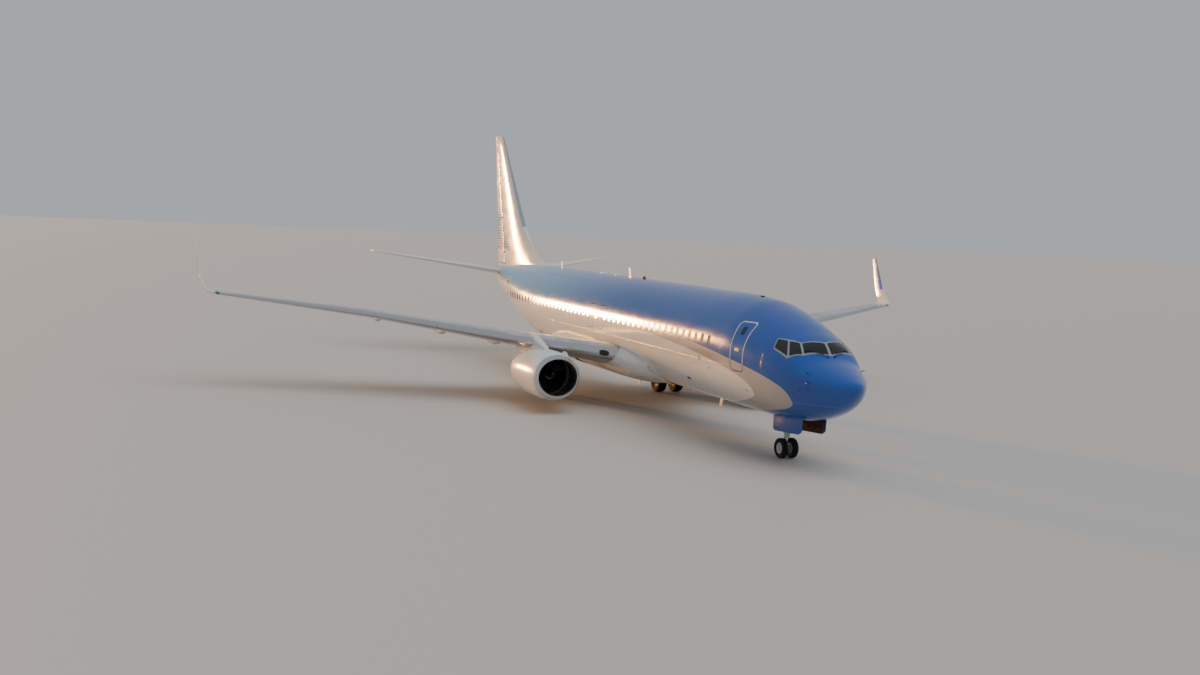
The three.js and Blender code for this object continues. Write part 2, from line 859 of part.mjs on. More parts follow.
const slatLine = slatSpan.map((x) => chordPoint(x, slatChordShare));
const kinkX = wingSections[2][0];
const inboardFlapLine = inboardFlapSpan.map((x) => [x, flapFront]);
const outboardFlapLine = [
  [outboardFlapSpan[0], flapFront + (outboardFlapSpan[0] - kinkX) * flapFrontSweep],
  [outboardFlapSpan[1], flapFront + (outboardFlapSpan[1] - kinkX) * flapFrontSweep],
];

function slatRegion(grow = 0) {
  const [start, end] = slatLine;
  return planPrism([
    [start[0] - grow, aheadOfWing],
    [end[0] + grow, aheadOfWing],
    [end[0] + grow, end[1] + grow],
    [start[0] - grow, start[1] + grow],
  ], wingLow, wingHigh);
}

// Slender pod under the wing, sunk into its lower side and running past the edge
function trackFairing([x, front, length, halfWidth, depth], grow = 0) {
  const rings = trackFairingShape.map(([share, fullness, sink]) => {
    const station = front + share * length;
    const [, leading, trailing, height, drop, thickness] = rowAt(wingSections, x);
    const chordShare = Math.min(1, (station - leading) / (trailing - leading));
    const skin = height - drop * chordShare - thickness * sectionHalfThickness(chordShare);
    const middle = skin - sink * depth;
    const half = (fullness * depth) / 2;
    const row = [station, middle + half, middle - half, fullness * halfWidth, middle];
    return bodyRing(row, trackFairingSides, grow, x);
  });
  return loft(rings);
}

function buildWing() {
  const whole = cutBy(wingSolid(), bodyClear);
  const tracks = trackFairings.map((row) => trackFairing(row));
  const tracksClear = trackFairings.map((row) => trackFairing(row, seam));
  const slats = whole.intersect(slatRegion());
  const flaps = [inboardFlapLine, outboardFlapLine]
    .map((line) => cutBy(whole.intersect(regionBehind(line)), tracksClear));
  const aileronPocket = surfacePocketCorners(
    wingSections,
    aileronSpan,
    aileronHingeShare,
    false,
    runningGap,
    aileronEndGaps,
  );
  const aileron = controlSurface(
    wingSections,
    aileronSpan,
    aileronHingeShare,
    false,
    aileronHinges,
    aileronHingeWidth,
    runningGap,
  );
  const box = cutBy(whole, [
    slatRegion(seam),
    regionBehind(inboardFlapLine, seam),
    regionBehind(outboardFlapLine, seam),
    regionBehind(aileronPocket),
  ]);
  return {
    wing: joined([box, ...tracks, ...aileron.lugs]),
    slats,
    flap_inboard: flaps[0],
    flap_outboard: flaps[1],
    aileron: aileron.surface,
    winglet: loft(wingletSections.map(([x, leading, trailing, height, thickness, cant]) => wingRing(
      [x + seam / 2, leading, trailing, height, 0, thickness],
      0,
      cant,
    ))),
  };
}

const wingPieces = buildWing();
const wingFinishes = {
  wing: 'greyPaint',
  slats: 'bareMetal',
  flap_inboard: 'greyPaint',
  flap_outboard: 'greyPaint',
  aileron: 'greyPaint',
  winglet: 'bluePaint',
};

function addPair(name, solid, finish) {
  addPiece(`${name}_left`, geometryOf(solid), finish);
  addPiece(`${name}_right`, geometryOf(mirrored(solid)), finish);
}

for (const [name, solid] of Object.entries(wingPieces)) {
  addPair(name, solid, wingFinishes[name]);
}

// Engines and pylons

function nacelleSolid(grow = 0) {
  const [outside, duct] = [nacelleOutside, nacelleDuct].map((table) => (sideGrow) => loft(
    table.map(([station, crown, keel, halfWidth]) => bodyRing(
      [station, crown, keel, halfWidth, engineZ],
      nacelleSides,
      sideGrow,
      engineX,
    )),
  ));
  return outside(grow).subtract(duct(-grow));
}

// Solid turned about a fore-and-aft axis. Columns of its outline: station, radius.
function turnedSolid(outline, x, z, sides, shift = -halfLength) {
  const points = outline.map(([station, radius]) => new THREE.Vector2(radius, station + shift));
  const first = new THREE.Vector2(0, points[0].y);
  const last = new THREE.Vector2(0, points[points.length - 1].y);
  const geometry = new THREE.LatheGeometry([first, ...points, last], sides);
  return solidOf(geometry.translate(x, 0, z));
}

// Plate that stands on the core and reaches towards the duct wall at an angle
function coreVane(angle, [front, back], thickness, root) {
  const tip = fanDuctRadius + vaneTipSink;
  const plate = new THREE.BoxGeometry(thickness, back - front, tip - root);
  plate.translate(0, yAt((front + back) / 2), (tip + root) / 2);
  plate.rotateY(angle);
  return solidOf(plate.translate(engineX, 0, engineZ));
}

const nacelleClear = nacelleSolid(seam);
const corePlug = turnedSolid(coreProfile, engineX, engineZ, coreSides);
const vanes = [];
for (let k = 0; k < vaneCount; k += 1) {
  vanes.push(coreVane((2 * Math.PI * k) / vaneCount, vaneStations, vaneThickness, vaneRoot));
}
const bifurcations = [0, Math.PI].map((angle) => coreVane(
  angle,
  bifurcationStations,
  bifurcationThickness,
  bifurcationRoot,
));
const core = joined([corePlug, ...vanes, ...bifurcations]).subtract(nacelleClear);
const coreClear = turnedSolid(
  coreProfile.map(([station, radius]) => [station, radius + seam]),
  engineX,
  engineZ,
  coreSides,
);

const pylonShape = sidePrism(cornerShape(pylonOutline), engineX - pylonReach, engineX + pylonReach);
const pylonTaper = planPrism([
  ...pylonPlan.map(([station, half]) => [engineX - half, station]),
  ...pylonPlan.toReversed().map(([station, half]) => [engineX + half, station]),
], 0, wingHigh);
const pylon = cutBy(pylonShape.intersect(pylonTaper), [nacelleClear, coreClear, wingSolid(seam)]);

addPair('nacelle', nacelleSolid(), 'whitePaint');
addPair('engine_core', core, 'titanium');
addPair('pylon', pylon, 'whitePaint');

// Fan about its own centre: spinner, hub and twisted blades

function bladeRing([radius, chord, stagger, thickness]) {
  const turn = THREE.MathUtils.degToRad(stagger);
  const outline = [
    [-chord / 2, 0],
    [0, thickness / 2],
    [chord / 2, 0],
    [0, -thickness / 2],
  ];
  return outline.map(([along, away]) => new THREE.Vector3(
    along * Math.sin(turn) + away * Math.cos(turn),
    along * Math.cos(turn) - away * Math.sin(turn),
    radius,
  ));
}

const bladeGeometry = geometryOf(loft(bladeSections.map(bladeRing)));
const fanParts = [turnedSolid(hubOutline, 0, 0, hubSides, 0)];
for (let k = 0; k < fanBladeCount; k += 1) {
  fanParts.push(solidOf(bladeGeometry.clone().rotateY((2 * Math.PI * k) / fanBladeCount)));
}
const fan = joined(fanParts);
addPiece('fan_left', geometryOf(fan), 'titanium', [engineX, yAt(fanStation), engineZ]);
addPiece('fan_right', geometryOf(fan), 'titanium', [-engineX, yAt(fanStation), engineZ]);

// Tail

const stabiliserTipX = stabiliserSections[stabiliserSections.length - 1][0];
const stabiliserWhole = loft(stabiliserSections.map((row) => wingRing(row))).subtract(fuselageClear);
const elevator = controlSurface(
  stabiliserSections,
  elevatorSpan,
  elevatorHingeShare,
  false,
  elevatorHinges,
  elevatorHingeWidth,
  runningGap,
);
const elevatorPocket = surfacePocketCorners(
  stabiliserSections,
  elevatorSpan,
  elevatorHingeShare,
  false,
  runningGap,
  elevatorEndGaps,
);
const behindTail = 41000;
const stabiliserCut = planPrism([
  elevatorPocket[0],
  elevatorPocket[1],
  [elevatorPocket[1][0], behindTail],
  [elevatorPocket[0][0], behindTail],
], wingLow, stabiliserTipX);
addPair('stabiliser', joined([stabiliserWhole.subtract(stabiliserCut), ...elevator.lugs]), 'whitePaint');
addPair('elevator', elevator.surface, 'whitePaint');

const rudder = controlSurface(
  finSections,
  rudderSpan,
  rudderHingeShare,
  true,
  rudderHinges,
  rudderHingeWidth,
  rudderGap,
);
const rudderPocket = surfacePocketCorners(
  finSections,
  rudderSpan,
  rudderHingeShare,
  true,
  rudderGap,
  rudderEndGaps,
);
const [pocketFoot, pocketTop] = rudderPocket.map(([height, station]) => [station, height]);
const rudderCut = sidePrism(cornerShape([
  pocketFoot,
  pocketTop,
  [behindTail, pocketTop[1]],
  [behindTail, pocketFoot[1]],
]), -farOut, farOut);
const finWhole = joined([loft(finSections.map(finRing)), loft(dorsalSections.map(finRing))]);
const fin = joined([cutBy(finWhole, [fuselageClear, rudderCut]), ...rudder.lugs]);
addPiece('fin', geometryOf(fin), 'whitePaint');
addPiece('rudder', geometryOf(rudder.surface), 'whitePaint');

// Landing gear

// Radius of a faceted wheel whose flat sides lie at the true radius
function facetRadius(radius) {
  return radius / Math.cos(Math.PI / gearSides);
}

// Solid turned about the X axis, with a flat side down. Columns: x, radius.
function wheelSolid(outline, closed) {
  const points = outline.map(([x, radius]) => new THREE.Vector2(radius, x));
  if (closed) {
    points.push(points[0].clone());
  }
  const geometry = new THREE.LatheGeometry(points, gearSides, Math.PI / gearSides);
  return solidOf(geometry.rotateZ(-Math.PI / 2));
}

// Axle and its two wheels in one turned piece
function wheelPair(offset, bossHalf, axleRadius, rimRadius, halfWidth) {
  const outerFace = offset + halfWidth * rimWidthShare;
  const innerFace = offset - halfWidth * rimWidthShare;
  const half = [
    [outerFace - hubCapInset, 0],
    [outerFace - hubCapInset, axleRadius * hubCapShare],
    [offset + wheelDishOffset, rimRadius * wheelDishShare],
    [outerFace, rimRadius * rimLipShare],
    [outerFace, rimRadius],
    [innerFace, rimRadius],
    [innerFace, rimRadius * wheelDishShare],
    [bossHalf + seam, axleRadius * axleCollarShare],
    [bossHalf + seam, axleRadius],
  ];
  const otherHalf = half.toReversed().map(([x, radius]) => [-x, radius]);
  return wheelSolid([...half, ...otherHalf], false);
}

// Tyre ring about its own centre. Columns: share of the half width, share of the height
// of its wall.
const tyreOutline = [
  [-0.74, 0],
  [-1, 0.55],
  [-0.65, 1],
  [0.65, 1],
  [1, 0.55],
  [0.74, 0],
];

function tyreSolid(radius, halfWidth, rimRadius) {
  const bead = rimRadius + 2 * seam;
  return wheelSolid(tyreOutline.map(([across, rise]) => [
    across * halfWidth,
    bead + rise * (facetRadius(radius) - bead),
  ]), true);
}

// Scissor link behind a leg, in side view
function torqueLink([x, legStation], [behind, high, low, reach, halfWidth]) {
  const station = legStation + behind;
  const knee = (high + low) / 2;
  const shape = cornerShape([
    [station, high],
    [station + reach, knee + linkKneeHalf],
    [station + reach, knee - linkKneeHalf],
    [station, low],
    [station, low + linkArmDepth],
    [station + reach - linkArmDepth, knee],
    [station, high - linkArmDepth],
  ]);
  return sidePrism(shape, x - halfWidth, x + halfWidth);
}

const mainAxleZ = mainTyreRadius;
const noseAxleZ = noseTyreRadius;
const mainFoot = [mainGearX, mainGearStation];

function alongX([x, station], half, z, radius) {
  return bar([x - half, station, z], [x + half, station, z], radius);
}

const mainLeg = cutBy(joined([
  ...mainMembers.map((row) => bar(row.slice(0, 3), row.slice(3, 6), row[6])),
  alongX(mainFoot, mainBossHalfLength, mainAxleZ, mainBossRadius),
  torqueLink(mainFoot, mainLink),
  ...strutDoorBlocks.map(([low, high]) => block(low, high)),
]), [
  alongX(mainFoot, mainBossHalfLength + bossOverrun, mainAxleZ, mainAxleRadius + mainAxleClearance),
  wingSolid(seam),
  ...bodyClear,
]);
addPair('main_leg', mainLeg, 'bareMetal');

const mainWheels = wheelPair(
  mainWheelOffset,
  mainBossHalfLength,
  mainAxleRadius,
  mainRimRadius,
  mainTyreHalfWidth,
);
const mainTyre = tyreSolid(mainTyreRadius, mainTyreHalfWidth, mainRimRadius);
for (const [sideName, side] of [['left', 1], ['right', -1]]) {
  const axle = [side * mainGearX, yAt(mainGearStation), mainAxleZ];
  addPiece(`main_wheels_${sideName}`, geometryOf(mainWheels), 'bareMetal', axle);
  for (const [placeName, place] of [['inner', -1], ['outer', 1]]) {
    const x = axle[0] + side * place * mainWheelOffset;
    const name = `tyre_main_${sideName}_${placeName}`;
    addPiece(name, geometryOf(mainTyre), 'rubber', [x, axle[1], axle[2]]);
  }
}

const noseFoot = [0, noseGearStation];
const aboveBay = block(
  [-noseBayHalfWidth, noseBayStations[0], noseBayRoof - seam],
  [noseBayHalfWidth, noseBayStations[1], crownHeight],
);
const noseLeg = joined(noseMembers.map((row) => bar(row.slice(0, 3), row.slice(3, 6), row[6])));
addPiece('nose_leg', geometryOf(noseLeg.subtract(aboveBay)), 'whitePaint');

const noseSteering = cutBy(joined([
  ...steeringMembers.map((row) => bar(row.slice(0, 3), row.slice(3, 6), row[6])),
  alongX(noseFoot, noseBossHalfLength, noseAxleZ, noseBossRadius),
  torqueLink(noseFoot, noseLink),
  block(...towFitting),
]), [alongX(noseFoot, noseBossHalfLength + bossOverrun, noseAxleZ, noseAxleRadius + noseAxleClearance)]);
addPiece('nose_steering', geometryOf(noseSteering), 'bareMetal');

const noseWheels = wheelPair(
  noseWheelOffset,
  noseBossHalfLength,
  noseAxleRadius,
  noseRimRadius,
  noseTyreHalfWidth,
);
const noseTyre = tyreSolid(noseTyreRadius, noseTyreHalfWidth, noseRimRadius);
const noseAxle = [0, yAt(noseGearStation), noseAxleZ];
addPiece('nose_wheels', geometryOf(noseWheels), 'bareMetal', noseAxle);
for (const [placeName, side] of [['left', 1], ['right', -1]]) {
  const x = side * noseWheelOffset;
  addPiece(`tyre_nose_${placeName}`, geometryOf(noseTyre), 'rubber', [x, noseAxle[1], noseAxle[2]]);
}

// Nose gear door, hung along the edge of the bay
const noseDoor = sidePrism(
  cornerShape(noseDoorOutline),
  noseBayHalfWidth,
  noseBayHalfWidth + noseDoorThickness,
).subtract(fuselageClear);
addPair('nose_gear_door', noseDoor, 'bluePaint');

export default airliner;
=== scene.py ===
import math
import bmesh
import bpy
import numpy as np
from mathutils import Matrix, Vector


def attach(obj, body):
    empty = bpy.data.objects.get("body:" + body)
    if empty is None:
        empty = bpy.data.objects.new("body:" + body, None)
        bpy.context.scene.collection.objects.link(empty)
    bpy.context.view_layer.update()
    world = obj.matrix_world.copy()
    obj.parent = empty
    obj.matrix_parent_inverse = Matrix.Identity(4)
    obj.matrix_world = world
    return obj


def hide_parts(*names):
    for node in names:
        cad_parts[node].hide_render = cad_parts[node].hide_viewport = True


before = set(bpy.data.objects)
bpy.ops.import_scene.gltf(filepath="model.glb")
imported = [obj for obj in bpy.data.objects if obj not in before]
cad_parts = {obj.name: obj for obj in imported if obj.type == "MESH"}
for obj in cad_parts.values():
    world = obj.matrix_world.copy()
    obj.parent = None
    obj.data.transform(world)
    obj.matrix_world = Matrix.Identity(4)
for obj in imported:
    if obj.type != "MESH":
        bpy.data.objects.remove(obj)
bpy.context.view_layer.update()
scene = bpy.context.scene

# The nose points to -Y and the left wing to +X. A station is the distance behind the nose tip.
noseY = -19.735
sides = {"left": 1, "right": -1}
# Edges sharper than this many degrees stay hard; a rod's ends are softened by this share of its radius
creaseAngle = 32
rodRim = 0.12


def yAt(station):
    return noseY + station


# Meshes


def smoothTable(table):
    # a function that gives a table's row at any value of its first column, as one smooth curve
    # through all the rows that never swings past them
    rows = np.array(table, float)
    x, y = rows[:, 0], rows[:, 1:]
    step = np.diff(x)[:, None]
    slope = np.diff(y, axis=0) / step
    tangent = np.zeros_like(y)
    tangent[0], tangent[-1] = slope[0], slope[-1]
    before, after = slope[:-1], slope[1:]
    flat = before * after <= 0
    with np.errstate(divide="ignore", invalid="ignore"):
        near, far = 2 * step[1:] + step[:-1], step[1:] + 2 * step[:-1]
        harmonic = (near + far) / (near / before + far / after)
    tangent[1:-1] = np.where(flat, 0, harmonic)

    def rowAt(value):
        k = int(np.clip(np.searchsorted(x, value) - 1, 0, len(x) - 2))
        h = x[k + 1] - x[k]
        t = (value - x[k]) / h
        a, b = 2 * t ** 3 - 3 * t ** 2 + 1, t ** 3 - 2 * t ** 2 + t
        c, d = 3 * t ** 2 - 2 * t ** 3, t ** 3 - t ** 2
        return a * y[k] + b * h * tangent[k] + c * y[k + 1] + d * h * tangent[k + 1]

    return rowAt


def straightTable(table):
    rows = np.array(table, float)
    return lambda value: np.array([np.interp(value, rows[:, 0], column) for column in rows.T[1:]])


def rootTable(rows, origin):
    # smooth table over the root of the distance behind the origin, which draws round noses finely
    table = smoothTable([(math.sqrt(row[0] - origin), *row[1:]) for row in rows])
    return lambda value: table(math.sqrt(max(0.0, value - origin)))


def between(low, high, step):
    count = max(1, round(abs(high - low) / step))
    return [low + (high - low) * k / count for k in range(count + 1)]


def around(count, first=0.0):
    # angles of even places on a circle
    return [2 * math.pi * (k + first) / count for k in range(count)]


def vertsOf(parts):
    return [part for part in parts if isinstance(part, bmesh.types.BMVert)]


def edgesOf(verts):
    return list({edge for vert in verts for edge in vert.link_edges})


def loft(bm, rings, closed=False):
    # skin pulled through rings of points, with flat ends unless the last ring joins the first
    order = bm.verts.layers.int.get("order") or bm.verts.layers.int.new("order")
    ring = bmesh.ops.create_circle(bm, cap_ends=False, radius=1, segments=len(rings[0]))["verts"]
    for k, vert in enumerate(ring):
        vert[order] = k
    edges = edgesOf(ring)
    firstRing, firstEdges = ring, edges
    for count, points in enumerate(rings):
        if count:
            made = bmesh.ops.extrude_edge_only(bm, edges=edges)["geom"]
            ring = vertsOf(made)
            inRing = set(ring)
            edges = [part for part in made if isinstance(part, bmesh.types.BMEdge)
                     and part.verts[0] in inRing and part.verts[1] in inRing]
        for vert in ring:
            vert.co = points[vert[order]]
    if closed:
        bmesh.ops.remove_doubles(bm, verts=firstRing + ring, dist=1e-5)
    else:
        for end in (firstEdges, edges):
            bmesh.ops.edgeloop_fill(bm, edges=end)


def lofted(rings, closed=False):
    bm = bmesh.new()
    loft(bm, rings, closed)
    return bm


def ellipseRing(station, row, segments, centreX=0.0):
    # two half ellipses, above and below the widest line; row is crown, keel, half width, widest line
    crown, keel, half, widest = row
    ring = []
    for angle in around(segments):
        reach = crown - widest if math.sin(angle) > 0 else widest - keel
        ring.append(Vector((centreX + half * math.cos(angle), yAt(station), widest + reach * math.sin(angle))))
    return ring


def foilHalf(share, thickness):
    # the four-digit wing section's half thickness at a share of the chord
    return 5 * thickness * (0.2969 * math.sqrt(share) - 0.126 * share - 0.3516 * share ** 2
                            + 0.2843 * share ** 3 - 0.1036 * share ** 4)


def foilRing(row, front=0.0, back=1.0, count=49, cant=0.0):
    # part of a wing-like section between two shares of its chord. An odd count gives the round
    # leading edge, an even one a flat front. row: x, leading edge, trailing edge, height, drop, thickness
    x, leading, trailing, height, drop, thickness = row
    lean = math.radians(cant)
    last = math.cos(math.pi / count)
    ring = []
    for k, angle in enumerate(around(count, 0.5)):
        turn = math.cos(angle)
        along = (turn + 1) / (last + 1) if count % 2 else (turn + last) / (2 * last)
        share = min(1.0, max(0.0, front + (back - front) * along))
        side = 0 if 2 * k + 1 == count else (1 if 2 * k + 1 < count else -1)
        half = side * max(0.005, foilHalf(share, thickness))
        ring.append(Vector((x - half * math.sin(lean), yAt(leading + share * (trailing - leading)),
                            height - drop * share + half * math.cos(lean))))
    return ring


def upright(ring):
    # stands a ring that lies across x up along the fin
    return [Vector((p.z, p.y, p.x)) for p in ring]


def standingFoil(front, back, thickness, height, count=25):
    # level section of a plate that stands up
    return [Vector((p.z, p.y, height)) for p in foilRing((0, front, back, 0, 0, thickness), count=count)]


def turned(bm, outline, centre, segments=48, axis=(0, 1, 0), closed=False):
    # outline of (distance along the axis, radius) spun round the axis through centre
    along = Vector(axis)
    out = Vector((0, 0, 1)) if abs(along.z) < 0.9 else Vector((1, 0, 0))
    verts = [bm.verts.new(Vector(centre) + along * a + out * r) for a, r in outline]
    chain = verts + [verts[0]] if closed else verts
    edges = [bm.edges.new(pair) for pair in zip(chain, chain[1:])]
    bmesh.ops.spin(bm, geom=verts + edges, cent=centre, axis=axis, angle=2 * math.pi,
                   steps=segments, use_merge=True)
    bmesh.ops.remove_doubles(bm, verts=bm.verts[:], dist=1e-5)


def lathed(outline, centre, segments=48, axis=(0, 1, 0), closed=False):
    bm = bmesh.new()
    turned(bm, outline, centre, segments, axis, closed)
    return bm


def prismOf(bm, corners, low, high, axis="z"):
    # straight prism over an outline; axis names the direction that it is pulled in
    put = {"z": lambda a, b, c: (a, b, c), "x": lambda a, b, c: (c, a, b)}[axis]
    verts = [bm.verts.new(put(a, b, low)) for a, b in corners]
    made = bmesh.ops.extrude_face_region(bm, geom=[bm.faces.new(verts)])["geom"]
    top = vertsOf(made)
    bmesh.ops.translate(bm, verts=top, vec=Vector(put(0, 0, high - low)))
    return verts + top


def roundRect(bm, station, height, length, tall, radius):
    # face with round corners in side view, at x = 0
    count = 4 * 5
    made = bmesh.ops.create_circle(bm, cap_ends=True, radius=radius, segments=count)["verts"]
    bmesh.ops.rotate(bm, verts=made, cent=(0, 0, 0), matrix=Matrix.Rotation(math.pi / count, 3, "Z"))
    for vert in made:
        a = vert.co.x + math.copysign(length / 2 - radius, vert.co.x)
        b = vert.co.y + math.copysign(tall / 2 - radius, vert.co.y)
        vert.co = Vector((0, yAt(station) + a, height + b))
    return made


def sliced(bm, lowest, highest, step, normal):
    # cuts every face at even places along an axis, so that it can bend there
    count = int((highest - lowest) / step)
    for k in range(1, count + 1):
        at = Vector(normal) * (lowest + (highest - lowest) * k / (count + 1))
        bmesh.ops.bisect_plane(bm, geom=bm.verts[:] + bm.edges[:] + bm.faces[:], plane_co=at,
                               plane_no=normal, dist=1e-6)


def thickened(bm, vec):
    made = bmesh.ops.extrude_face_region(bm, geom=bm.faces[:])["geom"]
    bmesh.ops.translate(bm, verts=vertsOf(made), vec=Vector(vec))


def objectOf(name, bm, materials=()):
    bmesh.ops.recalc_face_normals(bm, faces=bm.faces[:])
    mesh = bpy.data.meshes.new(name)
    bm.to_mesh(mesh)
    bm.free()
    for material in materials:
        mesh.materials.append(material)
    piece = bpy.data.objects.new(name, mesh)
    scene.collection.objects.link(piece)
    return piece


def carve(piece, cutter):
    # cuts with another object, keeps the result as the piece's own mesh and drops the cutter
    modifier = piece.modifiers.new("cut", "BOOLEAN")
    modifier.object = cutter
    modifier.operation = "DIFFERENCE"
    modifier.solver = "EXACT"
    modifier.material_mode = "TRANSFER"
    view = bpy.context.evaluated_depsgraph_get()
    cut = bpy.data.meshes.new_from_object(piece.evaluated_get(view))
    piece.modifiers.clear()
    piece.data = cut
    bpy.data.objects.remove(cutter)


def finished(piece, body, slot, replaces=()):
    piece.data.polygons.foreach_set("use_smooth", [True] * len(piece.data.polygons))
    piece.data.set_sharp_from_angle(angle=math.radians(creaseAngle))
    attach(piece, body)
    if replaces:
        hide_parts(*replaces)


def addPiece(name, bm, materials, body, slot, replaces=()):
    finished(objectOf(name, bm, materials), body, slot, replaces)


def sided(bm, side):
    if side < 0:
        bmesh.ops.scale(bm, verts=bm.verts, vec=(-1, 1, 1))
    return bm


def addPair(name, make, materials, slot, nodes=(), body="root", cuts=()):
    # the left piece and its mirror image; {} in a body's or node's name becomes left or right
    for sideName, side in sides.items():
        piece = objectOf(f"{name}_{sideName}", sided(make(), side), materials)
        for cut in cuts:
            carve(piece, objectOf("cut", sided(cut(), side), [materials[-1]]))
        finished(piece, body.format(sideName), slot, [node.format(sideName) for node in nodes])


def built(*steps):
    # a bmesh made by a list of functions that each add to it
    bm = bmesh.new()
    for step in steps:
        step(bm)
    return bm


def paintFaces(bm, index, test):
    for face in bm.faces:
        if test(face.calc_center_median()):
            face.material_index = index
    return bm


def softened(bm, edges, offset):
    bmesh.ops.bevel(bm, geom=edges, affect="EDGES", offset=offset, segments=2, profile=0.5, material=-1)


def drum(bm, centre, turn, radius, depth, segments, endRadius=None):
    # round bar about its middle; turn takes the z axis to the bar's own
    return bmesh.ops.create_cone(bm, cap_ends=True, segments=segments, radius1=radius,
                                 radius2=radius if endRadius is None else endRadius, depth=depth,
                                 matrix=Matrix.Translation(centre) @ turn)["verts"]


def turnTo(vector):
    return vector.to_track_quat("Z", "Y").to_matrix().to_4x4()


def rod(bm, start, end, radius, endRadius=None, segments=24):
    # round bar between two (x, station, height) points with softened ends
    a, b = (Vector((p[0], yAt(p[1]), p[2])) for p in (start, end))
    endRadius = radius if endRadius is None else endRadius
    made = drum(bm, (a + b) / 2, turnTo(b - a), radius, (b - a).length, segments, endRadius)
    caps = [face for face in {f for vert in made for f in vert.link_faces} if len(face.verts) > 4]
    softened(bm, [edge for face in caps for edge in face.edges], rodRim * min(radius, endRadius))


def slab(bm, low, high, soft=0.004):
    # block between two (x, station, height) corners with softened edges
    size = [h - l for l, h in zip(low, high)]
    middle = Vector(((low[0] + high[0]) / 2, yAt((low[1] + high[1]) / 2), (low[2] + high[2]) / 2))
    place = Matrix.Translation(middle) @ Matrix.Diagonal((*size, 1))
    softened(bm, edgesOf(bmesh.ops.create_cube(bm, size=1, matrix=place)["verts"]), soft)


def plateX(bm, corners, low, high, soft=0.004):
    # plate over a side-view outline of (station, height) corners, between two x values
    softened(bm, edgesOf(prismOf(bm, [(yAt(s), z) for s, z in corners], low, high, "x")), soft)


# Materials


def linear(hexCode, share=1.0):
    # an sRGB colour as the shader wants it, darkened to the share
    parts = [int(hexCode[k:k + 2], 16) / 255 for k in (1, 3, 5)]
    return [(p / 12.92 if p <= 0.04045 else ((p + 0.055) / 1.055) ** 2.4) * share for p in parts] + [1.0]


def link(tree, value, socket):
    # value is a number, a colour, another node's output or a node, which gives its first one in use
    if isinstance(value, bpy.types.Node):
        value = next(output for output in value.outputs if output.enabled)
    if isinstance(value, bpy.types.NodeSocket):
        tree.links.new(value, socket)
    else:
        socket.default_value = value


def addNode(tree, kind, *inputs, **settings):
    # adds one node, with its inputs in order or in a dictionary by name or number
    node = tree.nodes.new("ShaderNode" + kind)
    for key, value in settings.items():
        setattr(node, key, value)
    named = inputs[0] if inputs and isinstance(inputs[0], dict) else dict(enumerate(inputs))
    for key, value in named.items():
        link(tree, value, node.inputs[key])
    return node


def setInput(tree, key, value):
    link(tree, value, tree.nodes["Principled BSDF"].inputs[key])


def newMaterial(name, roughness, metallic=0.0, coat=0.0, ior=None):
    material = bpy.data.materials.new(name)
    material.use_nodes = True
    values = {"Base Color": linear("#808080"), "Roughness": roughness, "Metallic": metallic,
              "Coat Weight": coat, "Coat Roughness": 0.04}
    if ior:
        values["IOR"] = ior
    for key, value in values.items():
        setInput(material.node_tree, key, value)
    return material, material.node_tree


def places(tree):
    # the object's own coordinates, then its x, station and height in metres
    coords = addNode(tree, "TexCoord").outputs["Object"]
    split = addNode(tree, "SeparateXYZ", coords)
    station = addNode(tree, "Math", split.outputs[1], noseY, operation="SUBTRACT")
    return coords, split.outputs[0], station, split.outputs[2]


def slanted(tree, value, start, slope, level):
    # level + slope * (value - start)
    past = addNode(tree, "Math", value, start, operation="SUBTRACT")
    return addNode(tree, "Math", past, slope, level, operation="MULTIPLY_ADD")


def over(tree, value, limit, soft=0.006):
    # 1 where the value is over the limit and 0 where it is under, with a narrow ramp between
    past = addNode(tree, "Math", value, limit, operation="SUBTRACT")
    return addNode(tree, "Math", past, 1 / soft, 0.5, operation="MULTIPLY_ADD", use_clamp=True)


def joined(tree, operation, *masks):
    # MULTIPLY gives 1 where all the masks do, and MAXIMUM where one of them does
    whole = masks[0]
    for mask in masks[1:]:
        whole = addNode(tree, "Math", whole, mask, operation=operation)
    return whole


def seams(tree, value, pitch, first=0.0, width=0.006):
    # thin lines at even places: 1 on a line, 0 between
    shifted = addNode(tree, "Math", value, first, operation="SUBTRACT")
    return over(tree, width, addNode(tree, "Math", shifted, pitch / 2, operation="PINGPONG"), width)


def weathered(tree, colour, coords, grime, roughness, streak=(6.0, 0.5, 2.5)):
    # gloss paint that has flown: faint cloudy dirt and streaks along the airflow; gives its orange peel
    cloud = addNode(tree, "TexNoise", {"Vector": coords, "Scale": 0.45, "Detail": 5.0, "Roughness": 0.6})
    flow = addNode(tree, "Mapping", {"Vector": coords, "Scale": streak})
    lines = addNode(tree, "TexNoise", {"Vector": flow, "Scale": 1.2, "Detail": 4.0})
    both = addNode(tree, "Math", cloud, lines, operation="MULTIPLY")
    dirt = addNode(tree, "MapRange", both, 0.18, 0.42, 0.0, grime)
    dirty = addNode(tree, "Mix", {0: dirt, 6: colour, 7: linear("#5c564d")}, data_type="RGBA")
    setInput(tree, "Base Color", dirty)
    setInput(tree, "Roughness", addNode(tree, "MapRange", both, 0.15, 0.45, roughness * 0.8, roughness * 1.35))
    return addNode(tree, "TexNoise", {"Vector": coords, "Scale": 55.0, "Detail": 2.0})


def embossed(tree, lines, peel, distance):
    # seams sunk by the distance into paint with a trace of orange peel
    faint = addNode(tree, "Math", peel, 0.12, operation="MULTIPLY")
    relief = addNode(tree, "Math", lines, -1.0, faint, operation="MULTIPLY_ADD")
    setInput(tree, "Normal", addNode(tree, "Bump", {"Height": relief, "Distance": distance, "Strength": 0.6}))


